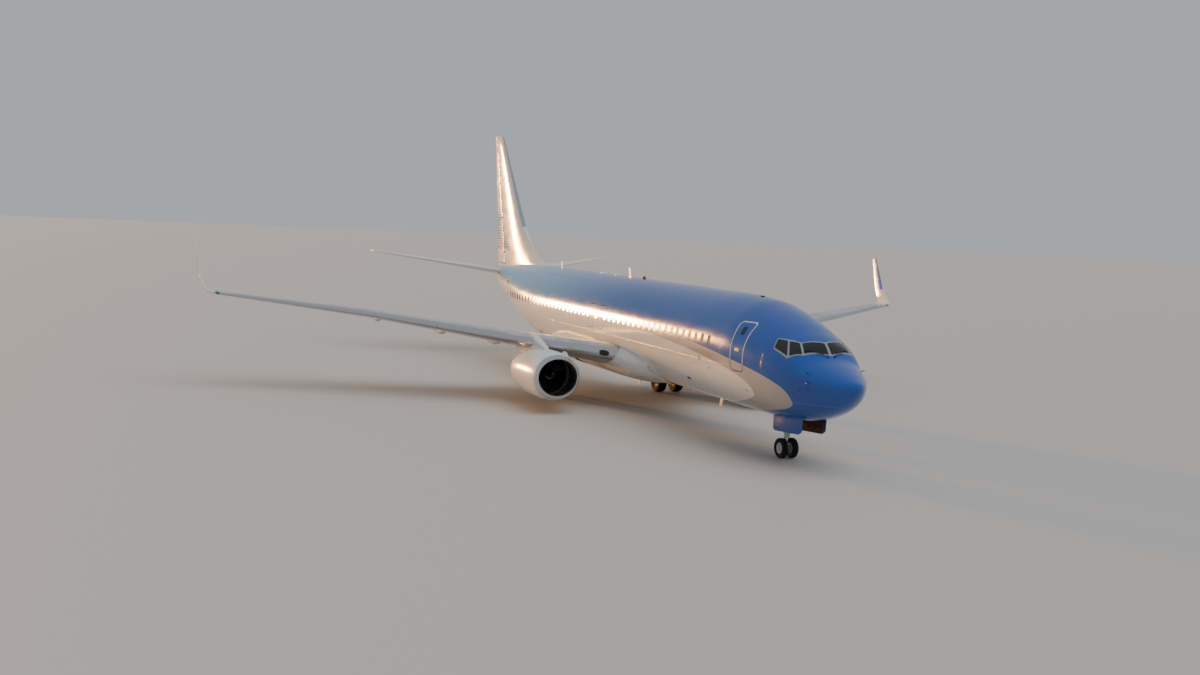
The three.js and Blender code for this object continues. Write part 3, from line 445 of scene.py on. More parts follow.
# Doors, exits and the livery's outlines round them
fixedDoors = {
    # node: (side, station of the centre, sill, width, height)
    "door_forward_left": (1, 4.85, 2.9, 0.86, 1.83),
    "door_forward_right": (-1, 4.55, 2.92, 0.78, 1.65),
    "door_aft_left": (1, 30.9, 3.02, 0.76, 1.83),
    "door_aft_right": (-1, 30.9, 3.02, 0.76, 1.65),
    "hold_door_forward": (-1, 8.8, 1.72, 1.22, 0.89),
    "hold_door_aft": (-1, 25.3, 1.9, 1.22, 0.8),
}
exits = {"front": 16.6, "rear": 17.7}
exitSizes = dict(sill=3.2, width=0.51, height=0.97, thickness=0.06, pocket=0.14, gap=0.008, topGap=0.03,
                 radius=0.04, openingRadius=0.018, outlineRadius=0.1)
doorSizes = dict(depth=0.1, gap=0.006, radius=0.13, playBehind=0.01)

# Livery. Each field's edge is a curve in side view that starts at a tip and opens backwards:
# height = tip height + rise * (station - tip station) ** power, and the same below the tip.
livery = {
    "blue": "#08499c",
    "tailBlue": "#79b0d9",
    "dark": "#17191c",
    "grey": "#a9a29b",
    "white": "#dedcd6",
    "greyField": dict(station=1.95, height=2.25, rise=0.686, power=0.372, fall=0.415, fallPower=0.462),
    "whiteField": dict(station=3.85, height=2.25, rise=0.593, power=0.378, fall=0.361, fallPower=0.607),
    "line": dict(station=8.6, height=3.64, slope=0.0255),
    "tailLine": dict(station=30.13, height=4.3, slope=0.125),
    # the blue lightens to the tail blue between these two stations: partly the livery's own light-blue
    # gradient, partly a painted reflection of the pale sky on the aft fuselage
    "gradientAndSheen": (13.0, 33.0),
    "wingletBlue": "#2a6cc4",
    # bars in side view: lowest and highest edge, and the two straight lines that end them in front
    "tailBars": dict(low=6.0, high=10.2, front=34.4, slope=1.35, upperFront=36.7, upperSlope=0.2, pitch=0.15),
    "doorLine": 0.034, "exitLine": 0.024,
}


def fieldMask(tree, station, height, upperLimit, field):
    past = addNode(tree, "Math", station, field["station"], operation="SUBTRACT")
    behind = addNode(tree, "Math", past, 0.0, operation="MAXIMUM")
    edges = []
    for power, rise in ((field["power"], field["rise"]), (field["fallPower"], -field["fall"])):
        curve = addNode(tree, "Math", behind, power, operation="POWER")
        edges.append(addNode(tree, "Math", curve, rise, field["height"], operation="MULTIPLY_ADD"))
    top = addNode(tree, "Math", edges[0], upperLimit, operation="MINIMUM")
    return joined(tree, "MULTIPLY", over(tree, top, height), over(tree, height, edges[1]))


def outlineMask(tree, coords, station, height, width, tall, radius, band):
    # line that follows a rounded rectangle in side view
    split = addNode(tree, "SeparateXYZ", coords)
    flat = addNode(tree, "CombineXYZ", {1: split.outputs[1], 2: split.outputs[2]})
    moved = addNode(tree, "VectorMath", flat, (0, yAt(station), height), operation="SUBTRACT")
    sized = addNode(tree, "VectorMath", moved, operation="ABSOLUTE")
    outer = addNode(tree, "VectorMath", sized, (0, width / 2 - radius, tall / 2 - radius), operation="SUBTRACT")
    past = addNode(tree, "VectorMath", outer, (0, 0, 0), operation="MAXIMUM")
    length = addNode(tree, "VectorMath", past, operation="LENGTH")
    distance = addNode(tree, "Math", length, radius, operation="SUBTRACT")
    return over(tree, band / 2, addNode(tree, "Math", distance, operation="ABSOLUTE"))


def doorOutlines(tree, coords, x):
    # lines round the cabin doors of each side and round the exits of both
    port = over(tree, x, 0.0, 0.01)
    starboard = addNode(tree, "Math", 1.0, port, operation="SUBTRACT")
    lines = []
    for side, middle, sill, width, tall in fixedDoors.values():
        if tall > 1:
            line = outlineMask(tree, coords, middle, sill + tall / 2, width, tall, doorSizes["radius"],
                               livery["doorLine"])
            lines.append(joined(tree, "MULTIPLY", line, port if side > 0 else starboard))
    for middle in exits.values():
        lines.append(outlineMask(tree, coords, middle, exitSizes["sill"] + exitSizes["height"] / 2,
                                 exitSizes["width"], exitSizes["height"], exitSizes["outlineRadius"],
                                 livery["exitLine"]))
    return joined(tree, "MAXIMUM", *lines)


def liveryPaint():
    # polyurethane paint over chromated aluminium skin, sprayed and polished: deep gloss with faint
    # orange peel, hairline seams between the skin panels and a film of dirt
    material, tree = newMaterial("livery_polyurethane_paint", 0.17, coat=0.4, ior=1.5)
    coords, x, station, height = places(tree)
    limits = [slanted(tree, station, line["station"], line["slope"], line["height"])
              for line in (livery["line"], livery["tailLine"])]
    limit = addNode(tree, "Math", *limits, 0.3, operation="SMOOTH_MAX")
    greyMask = fieldMask(tree, station, height, limit, livery["greyField"])
    whiteMask = fieldMask(tree, station, height, limit, livery["whiteField"])
    # blue that lightens towards the tail: the livery's gradient together with a painted sky reflection on the
    # aft fuselage
    gradientAndSheen = addNode(tree, "MapRange", station, *livery["gradientAndSheen"], 0.0, 1.0, interpolation_type="SMOOTHSTEP")
    colours = {key: linear(livery[key]) for key in ("blue", "tailBlue", "grey", "white", "dark")}
    blue = addNode(tree, "Mix", {0: gradientAndSheen, 6: colours["blue"], 7: colours["tailBlue"]}, data_type="RGBA")
    withGrey = addNode(tree, "Mix", {0: greyMask, 6: blue, 7: colours["grey"]}, data_type="RGBA")
    fields = addNode(tree, "Mix", {0: whiteMask, 6: withGrey, 7: colours["white"]}, data_type="RGBA")
    onField = joined(tree, "MAXIMUM", greyMask, whiteMask)
    lineColour = addNode(tree, "Mix", {0: onField, 6: colours["white"], 7: colours["dark"]}, data_type="RGBA")
    outlines = doorOutlines(tree, coords, x)
    colour = addNode(tree, "Mix", {0: outlines, 6: fields, 7: lineColour}, data_type="RGBA")
    peel = weathered(tree, colour, coords, 0.10, 0.17)
    hoops = seams(tree, station, 2.54, 0.6, 0.0035)
    laps = seams(tree, height, 0.92, 0.28, 0.003)
    embossed(tree, joined(tree, "MAXIMUM", hoops, laps), peel, 0.0025)
    return material


def panelPaint(name, colour, roughness, pitch, grime=0.15):
    # sprayed polyurethane paint over metal or composite panels, with their joints showing as hairlines
    material, tree = newMaterial(name, roughness, coat=0.2, ior=1.5)
    coords, x, station = places(tree)[:3]
    peel = weathered(tree, linear(colour), coords, grime, roughness)
    across = seams(tree, x, pitch[0], 0.35, 0.004)
    along = seams(tree, station, pitch[1], 0.2, 0.004)
    embossed(tree, joined(tree, "MAXIMUM", across, along), peel, 0.0025)
    return material


def metalFinish(name, colour, roughness, scale=(3.0, 40.0, 40.0), vary=0.5):
    # bare metal: fine scratches along the polishing direction and cloudy handling marks
    material, tree = newMaterial(name, roughness, metallic=1.0)
    coords = addNode(tree, "TexCoord").outputs["Object"]
    stretched = addNode(tree, "Mapping", {"Vector": coords, "Scale": scale})
    fine = addNode(tree, "TexNoise", {"Vector": stretched, "Scale": 9.0, "Detail": 4.0})
    cloud = addNode(tree, "TexNoise", {"Vector": coords, "Scale": 1.6, "Detail": 5.0})
    both = addNode(tree, "Math", fine, 0.5, addNode(tree, "Math", cloud, 0.5, operation="MULTIPLY"),
                   operation="MULTIPLY_ADD")
    setInput(tree, "Roughness",
             addNode(tree, "MapRange", both, 0.3, 0.7, roughness * (1 - vary), roughness * (1 + vary)))
    marks = addNode(tree, "MapRange", both, 0.35, 0.75, 0.0, 0.6)
    worn = addNode(tree, "Mix", {0: marks, 6: linear(colour), 7: linear(colour, 0.72)}, data_type="RGBA")
    setInput(tree, "Base Color", worn)
    setInput(tree, "Normal", addNode(tree, "Bump", {"Height": fine, "Distance": 0.0004, "Strength": 0.6}))
    return material


def plainFinish(name, colour, roughness, grain=120.0, bump=0.0005, vary=0.25, coat=0.0, ior=1.5):
    # moulded, cast or brushed-on finish with a fine grain and slightly uneven colour
    material, tree = newMaterial(name, roughness, coat=coat, ior=ior)
    coords = addNode(tree, "TexCoord").outputs["Object"]
    cloud = addNode(tree, "TexNoise", {"Vector": coords, "Scale": 4.0, "Detail": 6.0, "Roughness": 0.65})
    uneven = addNode(tree, "Mix", {0: cloud, 6: linear(colour), 7: linear(colour, 1 - vary)}, data_type="RGBA")
    setInput(tree, "Base Color", uneven)
    setInput(tree, "Roughness", addNode(tree, "MapRange", cloud, 0.3, 0.7, roughness * 0.85, roughness * 1.2))
    grainy = addNode(tree, "TexNoise", {"Vector": coords, "Scale": grain, "Detail": 3.0})
    setInput(tree, "Normal", addNode(tree, "Bump", {"Height": grainy, "Distance": bump, "Strength": 0.6}))
    return material


def lensFinish(name, colour):
    # moulded polycarbonate cover with faint mould marks
    material, tree = newMaterial(name, 0.05, coat=0.3, ior=1.58)
    coords = addNode(tree, "TexCoord").outputs["Object"]
    ripple = addNode(tree, "TexNoise", {"Vector": coords, "Scale": 30.0, "Detail": 2.0})
    tint = addNode(tree, "Mix", {0: ripple, 6: linear(colour), 7: linear(colour, 0.6)}, data_type="RGBA")
    setInput(tree, "Base Color", tint)
    setInput(tree, "Normal", addNode(tree, "Bump", {"Height": ripple, "Distance": 0.0006, "Strength": 0.6}))
    return material


# heights and stations where the winglet's colours change; slopes are stations per metre of height
wingletMarks = dict(root=4.7, frontStation=23.85, frontSlope=0.643, rearStation=24.75, rearSlope=0.456,
                    edgeWidth=0.13, foot=4.78, combStart=4.8, combPitch=0.052, combReach=0.42, combSlope=-0.17)


def wingletFinish():
    # glossy paint on a carbon-fibre skin: white leading edge and foot, blue panel, and a comb of
    # white lines that come in from the trailing edge
    material, tree = newMaterial("winglet_polyurethane_paint", 0.14, ior=1.5)
    coords, x, station, height = places(tree)
    marks = wingletMarks
    front, rear, reach = (slanted(tree, height, marks["root"], marks[slope], marks[level]) for slope, level in (
        ("frontSlope", "frontStation"), ("rearSlope", "rearStation"), ("combSlope", "combReach")))
    lead = addNode(tree, "Math", station, front, operation="SUBTRACT")
    trail = addNode(tree, "Math", rear, station, operation="SUBTRACT")
    shifted = addNode(tree, "Math", height, marks["combStart"], operation="SUBTRACT")
    saw = addNode(tree, "Math", shifted, marks["combPitch"], operation="PINGPONG")
    comb = joined(tree, "MULTIPLY", over(tree, saw, marks["combPitch"] / 2, 0.008), over(tree, reach, trail))
    foot = over(tree, marks["foot"], height)
    white = joined(tree, "MAXIMUM", over(tree, marks["edgeWidth"], lead), foot, comb)
    blue, pale = linear(livery["wingletBlue"]), linear(livery["white"])
    colour = addNode(tree, "Mix", {0: white, 6: blue, 7: pale}, data_type="RGBA")
    peel = weathered(tree, colour, coords, 0.08, 0.14)
    setInput(tree, "Normal", addNode(tree, "Bump", {"Height": peel, "Distance": 0.0003, "Strength": 0.6}))
    return material


def finFinish():
    # white gloss paint over aluminium and composite, with a generic block of straight blue bars on
    # the lower rudder that thin out upwards
    material, tree = newMaterial("fin_polyurethane_paint", 0.17, coat=0.2, ior=1.5)
    coords, x, station, height = places(tree)
    field = livery["tailBars"]
    low, high, half = field["low"], field["high"], field["pitch"] / 2
    fronts = [slanted(tree, height, low, field[slope], field[start])
              for slope, start in (("slope", "front"), ("upperSlope", "upperFront"))]
    front = addNode(tree, "Math", *fronts, operation="MINIMUM")
    up = addNode(tree, "Math", height, low, operation="SUBTRACT")
    saw = addNode(tree, "Math", up, half, operation="PINGPONG")
    share = addNode(tree, "MapRange", height, low + 1.3, high, 0.72, 0.15)
    bars = over(tree, addNode(tree, "Math", share, half, operation="MULTIPLY"), saw, 0.008)
    mask = joined(tree, "MULTIPLY", bars, over(tree, station, front, 0.01), over(tree, high, height, 0.01),
                  over(tree, up, 0.0, 0.01))
    tone = addNode(tree, "MapRange", height, low + 1, high, 0.0, 1.0)
    deep, light = linear(livery["blue"]), linear(livery["tailBlue"])
    blue = addNode(tree, "Mix", {0: tone, 6: deep, 7: light}, data_type="RGBA")
    colour = addNode(tree, "Mix", {0: mask, 6: linear(livery["white"]), 7: blue}, data_type="RGBA")
    peel = weathered(tree, colour, coords, 0.12, 0.17)
    embossed(tree, seams(tree, height, 1.47, 0.4, 0.003), peel, 0.002)
    return material


wingSeams = dict(kink=5.7, sweep=0.3, spoilerFront=19.25, spoilerPitch=1.27, firstSpoiler=0.83, ribPitch=2.54,
                 firstRib=0.2)


def wingFinish():
    # grey polyurethane paint with walkway dirt; spoiler panels and access joints show as hairlines
    material, tree = newMaterial("grey_wing_polyurethane_paint", 0.34, coat=0.15, ior=1.5)
    coords, x, station, height = places(tree)
    across = addNode(tree, "Math", x, operation="ABSOLUTE")
    peel = weathered(tree, linear("#a9adb0"), coords, 0.4, 0.34, streak=(2.0, 0.4, 1.0))
    past = addNode(tree, "Math", across, wingSeams["kink"], operation="SUBTRACT")
    outboard = addNode(tree, "Math", past, 0.0, operation="MAXIMUM")
    sweep = addNode(tree, "Math", outboard, wingSeams["sweep"], operation="MULTIPLY")
    swept = addNode(tree, "Math", station, sweep, operation="SUBTRACT")
    behind = addNode(tree, "Math", swept, wingSeams["spoilerFront"], operation="SUBTRACT")
    line = over(tree, 0.004, addNode(tree, "Math", behind, operation="ABSOLUTE"), 0.004)
    spoilers = seams(tree, across, wingSeams["spoilerPitch"], wingSeams["firstSpoiler"], 0.004)
    panels = joined(tree, "MULTIPLY", spoilers, over(tree, behind, 0.0, 0.004))
    ribs = seams(tree, across, wingSeams["ribPitch"], wingSeams["firstRib"], 0.003)
    embossed(tree, joined(tree, "MAXIMUM", line, panels, ribs), peel, 0.003)
    return material


print("materials")
paint = liveryPaint()
whitePaint = panelPaint("white_polyurethane_paint", "#dcdbd7", 0.26, (3.1, 1.9))
cowlPaint = panelPaint("white_cowl_polyurethane_paint", "#dcdad5", 0.26, (50.0, 1.15), grime=0.18)
wingPaint = wingFinish()
wingletPaint = wingletFinish()
finPaint = finFinish()
aluminium = metalFinish("polished_aluminium", "#c9ccd1", 0.2)
lipMetal = metalFinish("inlet_lip_aluminium", "#d3d5d8", 0.34)
sealant = plainFinish("polysulfide_sealant", "#1b1c1e", 0.6)
blackRubber = plainFinish("tyre_rubber", "#161617", 0.9, grain=260.0, bump=0.001, ior=1.52)
paneGlass = plainFinish("laminated_window_glass", "#07090c", 0.06, grain=8.0, bump=0.0001, vary=0.35, coat=0.3,
                        ior=1.52)
framePaint = plainFinish("grey_window_frame_enamel", "#8d9499", 0.35)
gearPaint = plainFinish("grey_gear_enamel", "#c3c5c4", 0.35)
chrome = metalFinish("hard_chromed_steel", "#d2d4d6", 0.12)
hotMetal = metalFinish("nickel_alloy_nozzle", "#7d766d", 0.36)
titanium = metalFinish("titanium_fan_blade", "#5d5c5b", 0.32, scale=(4.0, 4.0, 30.0))
wheelPaint = plainFinish("white_wheel_enamel", "#c9cac8", 0.4)
darkLiner = plainFinish("acoustic_liner_composite", "#2b2825", 0.5)
ductPaint = plainFinish("grey_duct_epoxy", "#6f757a", 0.45)
coreMetal = metalFinish("titanium_core_cowl", "#85878a", 0.38)
spinnerPaint = plainFinish("black_spinner_polyurethane", "#1d1f22", 0.35, coat=0.2)
markPaint = plainFinish("white_marking_paint", "#d9d9d6", 0.4)
cabinGlass = plainFinish("stretched_acrylic_window", "#10151b", 0.08, grain=8.0, bump=0.0001, vary=0.4,
                         coat=0.2, ior=1.49)
lampGlass = lensFinish("clear_lamp_polycarbonate", "#9aa4ad")
redLens = lensFinish("red_lamp_polycarbonate", "#a3130c")
greenLens = lensFinish("green_lamp_polycarbonate", "#0c7a3c")
wellPaint = plainFinish("wheel_well_epoxy_primer", "#8f948c", 0.6)
darkBay = plainFinish("gap_seal_rubber", "#26282a", 0.7)
primer = plainFinish("reddish_brown_epoxy_primer", "#5a3328", 0.55)


# Fuselage. The same driving sizes as the solids have, in metres.
fuselage = {
    # station, crown, keel, half width, height of the widest line
    "profile": [
        (0, 2.956, 2.906, 0.025, 2.931), (0.05, 3.055, 2.765, 0.185, 2.925), (0.15, 3.115, 2.612, 0.33, 2.912),
        (0.3, 3.18, 2.435, 0.485, 2.9), (0.6, 3.305, 2.179, 0.725, 2.89), (1, 3.46, 1.957, 0.975, 2.92),
        (1.55, 3.69, 1.74, 1.235, 2.99), (1.98, 4.12, 1.612, 1.4, 3.08), (2.35, 4.31, 1.53, 1.51, 3.15),
        (2.7, 4.45, 1.48, 1.6, 3.21), (3.3, 4.69, 1.42, 1.7, 3.3), (4.5, 5.075, 1.39, 1.83, 3.44),
        (5.5, 5.29, 1.39, 1.87, 3.5), (7.5, 5.4, 1.39, 1.88, 3.52), (23.5, 5.4, 1.39, 1.88, 3.52),
        (25, 5.4, 1.46, 1.88, 3.52), (27, 5.4, 1.72, 1.84, 3.64), (29, 5.39, 2.13, 1.72, 3.88),
        (31, 5.355, 2.65, 1.5, 4.13), (33, 5.285, 3.21, 1.2, 4.33), (35, 5.175, 3.74, 0.84, 4.49),
        (36.5, 5.055, 4.11, 0.54, 4.6), (37.5, 4.95, 4.35, 0.32, 4.66), (38.02, 4.88, 4.47, 0.2, 4.675),
    ],
    # node, first station, last station
    "sections": [
        ("radome", 0, 1.25), ("nose_section", 1.25, 6.2), ("forward_fuselage", 6.2, 13.0),
        ("centre_fuselage", 13.0, 22.6), ("aft_fuselage", 22.6, 31.9), ("tail_cone", 31.9, 38.02),
    ],
    "joint": 0.003,
    "tip": 0.0002,
    "segments": 144,
    # the rings stand closer together up to this station and in the tail cone
    "noseEnd": 6.2, "spacing": 0.4, "tailSpacing": 0.3,
}
rowAtStation = rootTable(fuselage["profile"], 0.0)
finestStep = 0.005
sampledStations = np.arange(0, fuselage["profile"][-1][0] + finestStep, finestStep)
sampledRows = np.array([rowAtStation(s) for s in sampledStations])


def bodyAt(station):
    return [float(np.interp(station, sampledStations, sampledRows[:, k])) for k in range(4)]


def reachOf(row, height):
    # from the widest line to the crown or to the keel
    crown, keel, half, widest = row
    return crown - widest if height > widest else widest - keel


def skinX(station, height):
    row = bodyAt(station)
    return row[2] * math.sqrt(max(0.0, 1 - ((height - row[3]) / reachOf(row, height)) ** 2))


def outward(station, height, side):
    # unit vector off the skin at a place in side view
    row, step = bodyAt(station), 0.02
    slope = (skinX(station + step, height) - skinX(station - step, height)) / (2 * step)
    rise = (height - row[3]) / reachOf(row, height) ** 2
    normal = Vector((skinX(station, height) / row[2] ** 2, 0, rise)).normalized()
    normal.y = -slope * normal.x
    normal.normalize()
    return Vector((normal.x * side, normal.y, normal.z))


def skinPoint(station, height, side, lift=0.0):
    return Vector((side * skinX(station, height), yAt(station), height)) + outward(station, height, side) * lift


def wrapped(bm, side, lift=0.0):
    # lays faces drawn in side view onto the skin, or above it
    for vert in bm.verts:
        vert.co = skinPoint(vert.co.y - noseY, vert.co.z, side, lift)


def panel(station, sill, length, tall, radius, side, lift, depth, reach=0.0):
    # piece of skin with round corners, from its depth below the skin to its reach above, along x
    bm = bmesh.new()
    roundRect(bm, station, sill + tall / 2, length, tall, radius)
    sliced(bm, sill, sill + tall, 0.07, (0, 0, 1))
    wrapped(bm, side, lift)
    bmesh.ops.translate(bm, verts=bm.verts, vec=(side * reach, 0, 0))
    thickened(bm, (-side * (depth + reach), 0, 0))
    return bm


def merged(target, other, material=None):
    # adds another bmesh's faces to the first
    if material is not None:
        for face in other.faces:
            face.material_index = material
    holder = bpy.data.meshes.new("holder")
    other.to_mesh(holder)
    other.free()
    target.from_mesh(holder)
    bpy.data.meshes.remove(holder)


def pocketCutter(panels):
    # openings in the skin: each is a panel shape from its floor out past the skin
    bm = bmesh.new()
    for station, sill, length, tall, radius, side, depth in panels:
        merged(bm, panel(station, sill, length, tall, radius, side, 0.0, depth, reach=0.3))
    return bm


def smoothNormals(piece):
    # normals of the ideal skin on every corner that lies on it, so that cuts leave no dents in the gloss
    mesh = piece.data
    mesh.polygons.foreach_set("use_smooth", [True] * len(mesh.polygons))
    normals = []
    for face in mesh.polygons:
        for corner in face.loop_indices:
            co = mesh.vertices[mesh.loops[corner].vertex_index].co
            ideal = skinNormal(co)
            normals.append(ideal if ideal.dot(face.normal) > 0.7 else face.normal)
    mesh.normals_split_custom_set(normals)


def skinNormal(co):
    # normal of the ideal skin at a place on it
    station, step = min(max(co.y - noseY, 0.001), sampledStations[-1]), 0.01

    def level(row):
        return (co.x / row[2]) ** 2 + ((co.z - row[3]) / reachOf(row, co.z)) ** 2

    row, ahead = bodyAt(station), max(station - step, 0.0005)
    slope = (level(bodyAt(station + step)) - level(bodyAt(ahead))) / (station + step - ahead)
    normal = Vector((2 * co.x / row[2] ** 2, slope, 2 * (co.z - row[3]) / reachOf(row, co.z) ** 2))
    return normal.normalized()


def onCrown(x, station, lift):
    # place above the upper skin
    crown, keel, half, widest = bodyAt(station)
    height = widest + (crown - widest) * math.sqrt(max(0.0, 1 - (x / half) ** 2))
    place = Vector((x, yAt(station), height))
    return place + skinNormal(place) * lift


def crownPatch(corners, top, bottom, soft):
    # plate on the upper skin over an outline of (x, station) corners seen from above; top and
    # bottom are its faces' distances above the skin
    bm = bmesh.new()
    verts = [bm.verts.new((x, yAt(station), 0)) for x, station in corners]
    bm.faces.new(verts)
    bmesh.ops.bevel(bm, geom=verts, affect="VERTICES", offset=soft, segments=4, profile=0.5, material=-1)
    for axis, normal in ((0, (1, 0, 0)), (1, (0, 1, 0))):
        reach = [vert.co[axis] for vert in bm.verts]
        sliced(bm, min(reach), max(reach), 0.08, normal)
    thickened(bm, (0, 0, -1))
    for vert in bm.verts:
        vert.co = onCrown(vert.co.x, vert.co.y - noseY, top if vert.co.z > -0.5 else bottom)
    return bm


glazing = {
    # panes of one side seen from above: (distance from the middle, station) corners
    "panes": [
        [(0.045, 1.985), (0.73, 2.205), (0.85, 1.86), (0.05, 1.665)],
        [(0.785, 2.275), (0.985, 2.555), (1.225, 2.137), (0.915, 1.878)],
        [(1.01, 2.62), (1.173, 2.951), (1.384, 2.814), (1.265, 2.205)],
    ],
    "outline": [(0.89, 1.825), (1.295, 2.14), (1.42, 2.83), (1.17, 3.0), (0.94, 2.62), (0.715, 2.24)],
    "foot": 1.63, "crown": 2.025, "frame": 0.03, "recess": 0.004, "glass": 0.018, "corner": 0.035,
}


def wholeOutline():
    half = glazing["outline"]
    return ([(0, glazing["foot"])] + half + [(0, glazing["crown"])]
            + [(-x, station) for x, station in reversed(half)])


def paneCorners(shrink):
    for side in sides.values():
        for pane in glazing["panes"]:
            middle = [sum(axis) / len(pane) for axis in zip(*pane)]
            yield [(side * (x + (middle[0] - x) * shrink), station + (middle[1] - station) * shrink)
                   for x, station in pane]


def panes(top, bottom, shrink=0.0):
    bm = bmesh.new()
    for corners in paneCorners(shrink):
        merged(bm, crownPatch(corners, top, bottom, glazing["corner"]))
    return bm


print("fuselage")
windows = dict(width=0.235, height=0.34, radius=0.095, row=3.78, pitch=0.508, first=6.4, last=30.2, margin=0.42,
               depth=0.03, rim=0.008, rimPlay=0.002, rimSink=0.0025, rimDepth=0.008, recess=0.011,
               paneInset=0.018, glass=0.006)


def windowStations():
    ahead, behind = exits["front"] - windows["margin"], exits["rear"] + windows["margin"]
    inFront = [ahead - k * windows["pitch"] for k in range(60)]
    inBack = [behind + k * windows["pitch"] for k in range(60)]
    middle = [(exits["front"] + exits["rear"]) / 2]
    return sorted([s for s in inFront if s > windows["first"]] + middle
                  + [s for s in inBack if s < windows["last"]])


openings = []
for side, station, sill, width, height in fixedDoors.values():
    gap = doorSizes["gap"]
    openings.append((station, sill - gap, width + 2 * gap, height + 2 * gap, doorSizes["radius"], side,
                     doorSizes["depth"] + doorSizes["playBehind"]))
for side in sides.values():
    for station in exits.values():
        gap = exitSizes["gap"]
        openings.append((station, exitSizes["sill"] - gap, exitSizes["width"] + 2 * gap,
                         exitSizes["height"] + gap + exitSizes["topGap"], exitSizes["openingRadius"], side,
                         exitSizes["pocket"]))
    for station in windowStations():
        openings.append((station, windows["row"] - windows["height"] / 2, windows["width"], windows["height"],
                         windows["radius"], side, windows["depth"]))

noseBay = dict(stations=(2.3, 4.45), half=0.43, foot=0.9, roof=2.15)
well = dict(x=1.13, station=19.61, radius=0.6, roof=1.82, depth=1.5, slotHalf=0.24, slotEnd=3.4, slotFoot=0.5,
            slotRoof=1.7)


def noseBaySpace():
    (front, back), half = noseBay["stations"], noseBay["half"]
    return built(lambda bm: slab(bm, (-half, front, noseBay["foot"]), (half, back, noseBay["roof"])))


def wellCylinders():
    bm = bmesh.new()
    for side in sides.values():
        middle = (side * well["x"], yAt(well["station"]), well["roof"] - well["depth"] / 2)
        drum(bm, middle, Matrix(), well["radius"], well["depth"], 64)
    return bm


for node, start, end in fuselage["sections"]:
    gap, noseEnd = fuselage["joint"] / 2, fuselage["noseEnd"]
    low = start + gap if start else fuselage["tip"]
    high = end if node == "tail_cone" else end - gap
    roots = between(math.sqrt(low), math.sqrt(min(high, noseEnd)), 0.035) if low < noseEnd else [math.sqrt(low)]
    stations = [r * r for r in roots]
    if high > noseEnd:
        step = fuselage["tailSpacing" if node == "tail_cone" else "spacing"]
        stations += between(max(low, noseEnd), high, step)[1:]
    skin = lofted([ellipseRing(s, bodyAt(s), fuselage["segments"]) for s in stations])
    section = objectOf(node + "_skin", skin, [paint])
    here = [row for row in openings if low < row[0] < high]
    cutter = pocketCutter(here)
    if node == "nose_section":
        merged(cutter, crownPatch(wholeOutline(), 0.08, -glazing["frame"] - 0.01, 0.03))
        merged(cutter, noseBaySpace(), 1)
    if here:
        carve(section, objectOf("cut", cutter, [sealant, wellPaint]))
    if node == "centre_fuselage":
        carve(section, objectOf("cut", wellCylinders(), [wellPaint]))
    smoothNormals(section)
    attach(section, "root")
    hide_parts(node)

print("doors and exits")
for node, (side, station, sill, width, height) in fixedDoors.items():
    bm = panel(station, sill, width, height, doorSizes["radius"], side, 0.0, doorSizes["depth"])
    colour = "blue_paint" if station < 10 and height > 1 else "white_paint"
    addPiece(node + "_panel", bm, [paint], "root", colour, [node])
for sideName, side in sides.items():
    for place, station in exits.items():
        body = f"exit_{sideName}_{place}"
        bm = panel(station, exitSizes["sill"], exitSizes["width"], exitSizes["height"], exitSizes["radius"],
                   side, 0.0, exitSizes["thickness"])
        addPiece(body + "_panel", bm, [paint], body, "blue_paint", [body])

print("flight deck glazing")
frameTop = crownPatch(wholeOutline(), 0.003, -glazing["frame"], 0.03)
windowFrame = objectOf("flight_deck_frame", frameTop, [framePaint])
carve(windowFrame, objectOf("cut", panes(0.06, -0.08), [sealant]))
finished(windowFrame, "root", "grey_paint", ["flight_deck_glazing"])
addPiece("flight_deck_panes", panes(-glazing["recess"], -glazing["recess"] - glazing["glass"], 0.02),
         [paneGlass], "root", "glazing", ["flight_deck_glazing"])

print("cabin windows")


def windowRing(bm, station, side):
    # thin metal retainer just inside the opening
    part = bmesh.new()
    size = [windows[key] - windows["rimPlay"] for key in ("width", "height")]
    face = roundRect(part, station, windows["row"], *size, windows["radius"])[0].link_faces[0]
    bmesh.ops.inset_region(part, faces=[face], thickness=windows["rim"], use_boundary=True,
                           use_even_offset=True)
    bmesh.ops.delete(part, geom=[face], context="FACES_ONLY")
    sliced(part, windows["row"] - 0.2, windows["row"] + 0.2, 0.1, (0, 0, 1))
    wrapped(part, side, -windows["rimSink"])
    thickened(part, (-side * windows["rimDepth"], 0, 0))
    merged(bm, part)


def windowPane(bm, station, side):
    # flat pane a little behind the rim
    part = bmesh.new()
    size = [windows[key] - windows["paneInset"] for key in ("width", "height")]
    roundRect(part, station, windows["row"], *size, windows["radius"] - windows["rim"])
    centre = skinPoint(station, windows["row"], side, -windows["recess"])
    normal = outward(station, windows["row"], side)
    for vert in part.verts:
        off = vert.co - centre
        vert.co.x = centre.x - (normal.y * off.y + normal.z * off.z) / normal.x
    thickened(part, (-side * windows["glass"], 0, 0))
    merged(bm, part)


def addWindows(rimName, paneName, stations, side, body):
    rims, glass = bmesh.new(), bmesh.new()
    for station in stations:
        windowRing(rims, station, side)
        windowPane(glass, station, side)
    addPiece(rimName, rims, [aluminium], body, "bare_metal")
    addPiece(paneName, glass, [cabinGlass], body, "glazing")


for sideName, side in sides.items():
    addWindows(f"cabin_window_rims_{sideName}", f"cabin_window_panes_{sideName}", windowStations(), side,
               "root")
    for place, station in exits.items():
        end = f"{sideName}_{place}"
        addWindows(f"exit_window_rim_{end}", f"exit_window_pane_{end}", [station], side, f"exit_{end}")

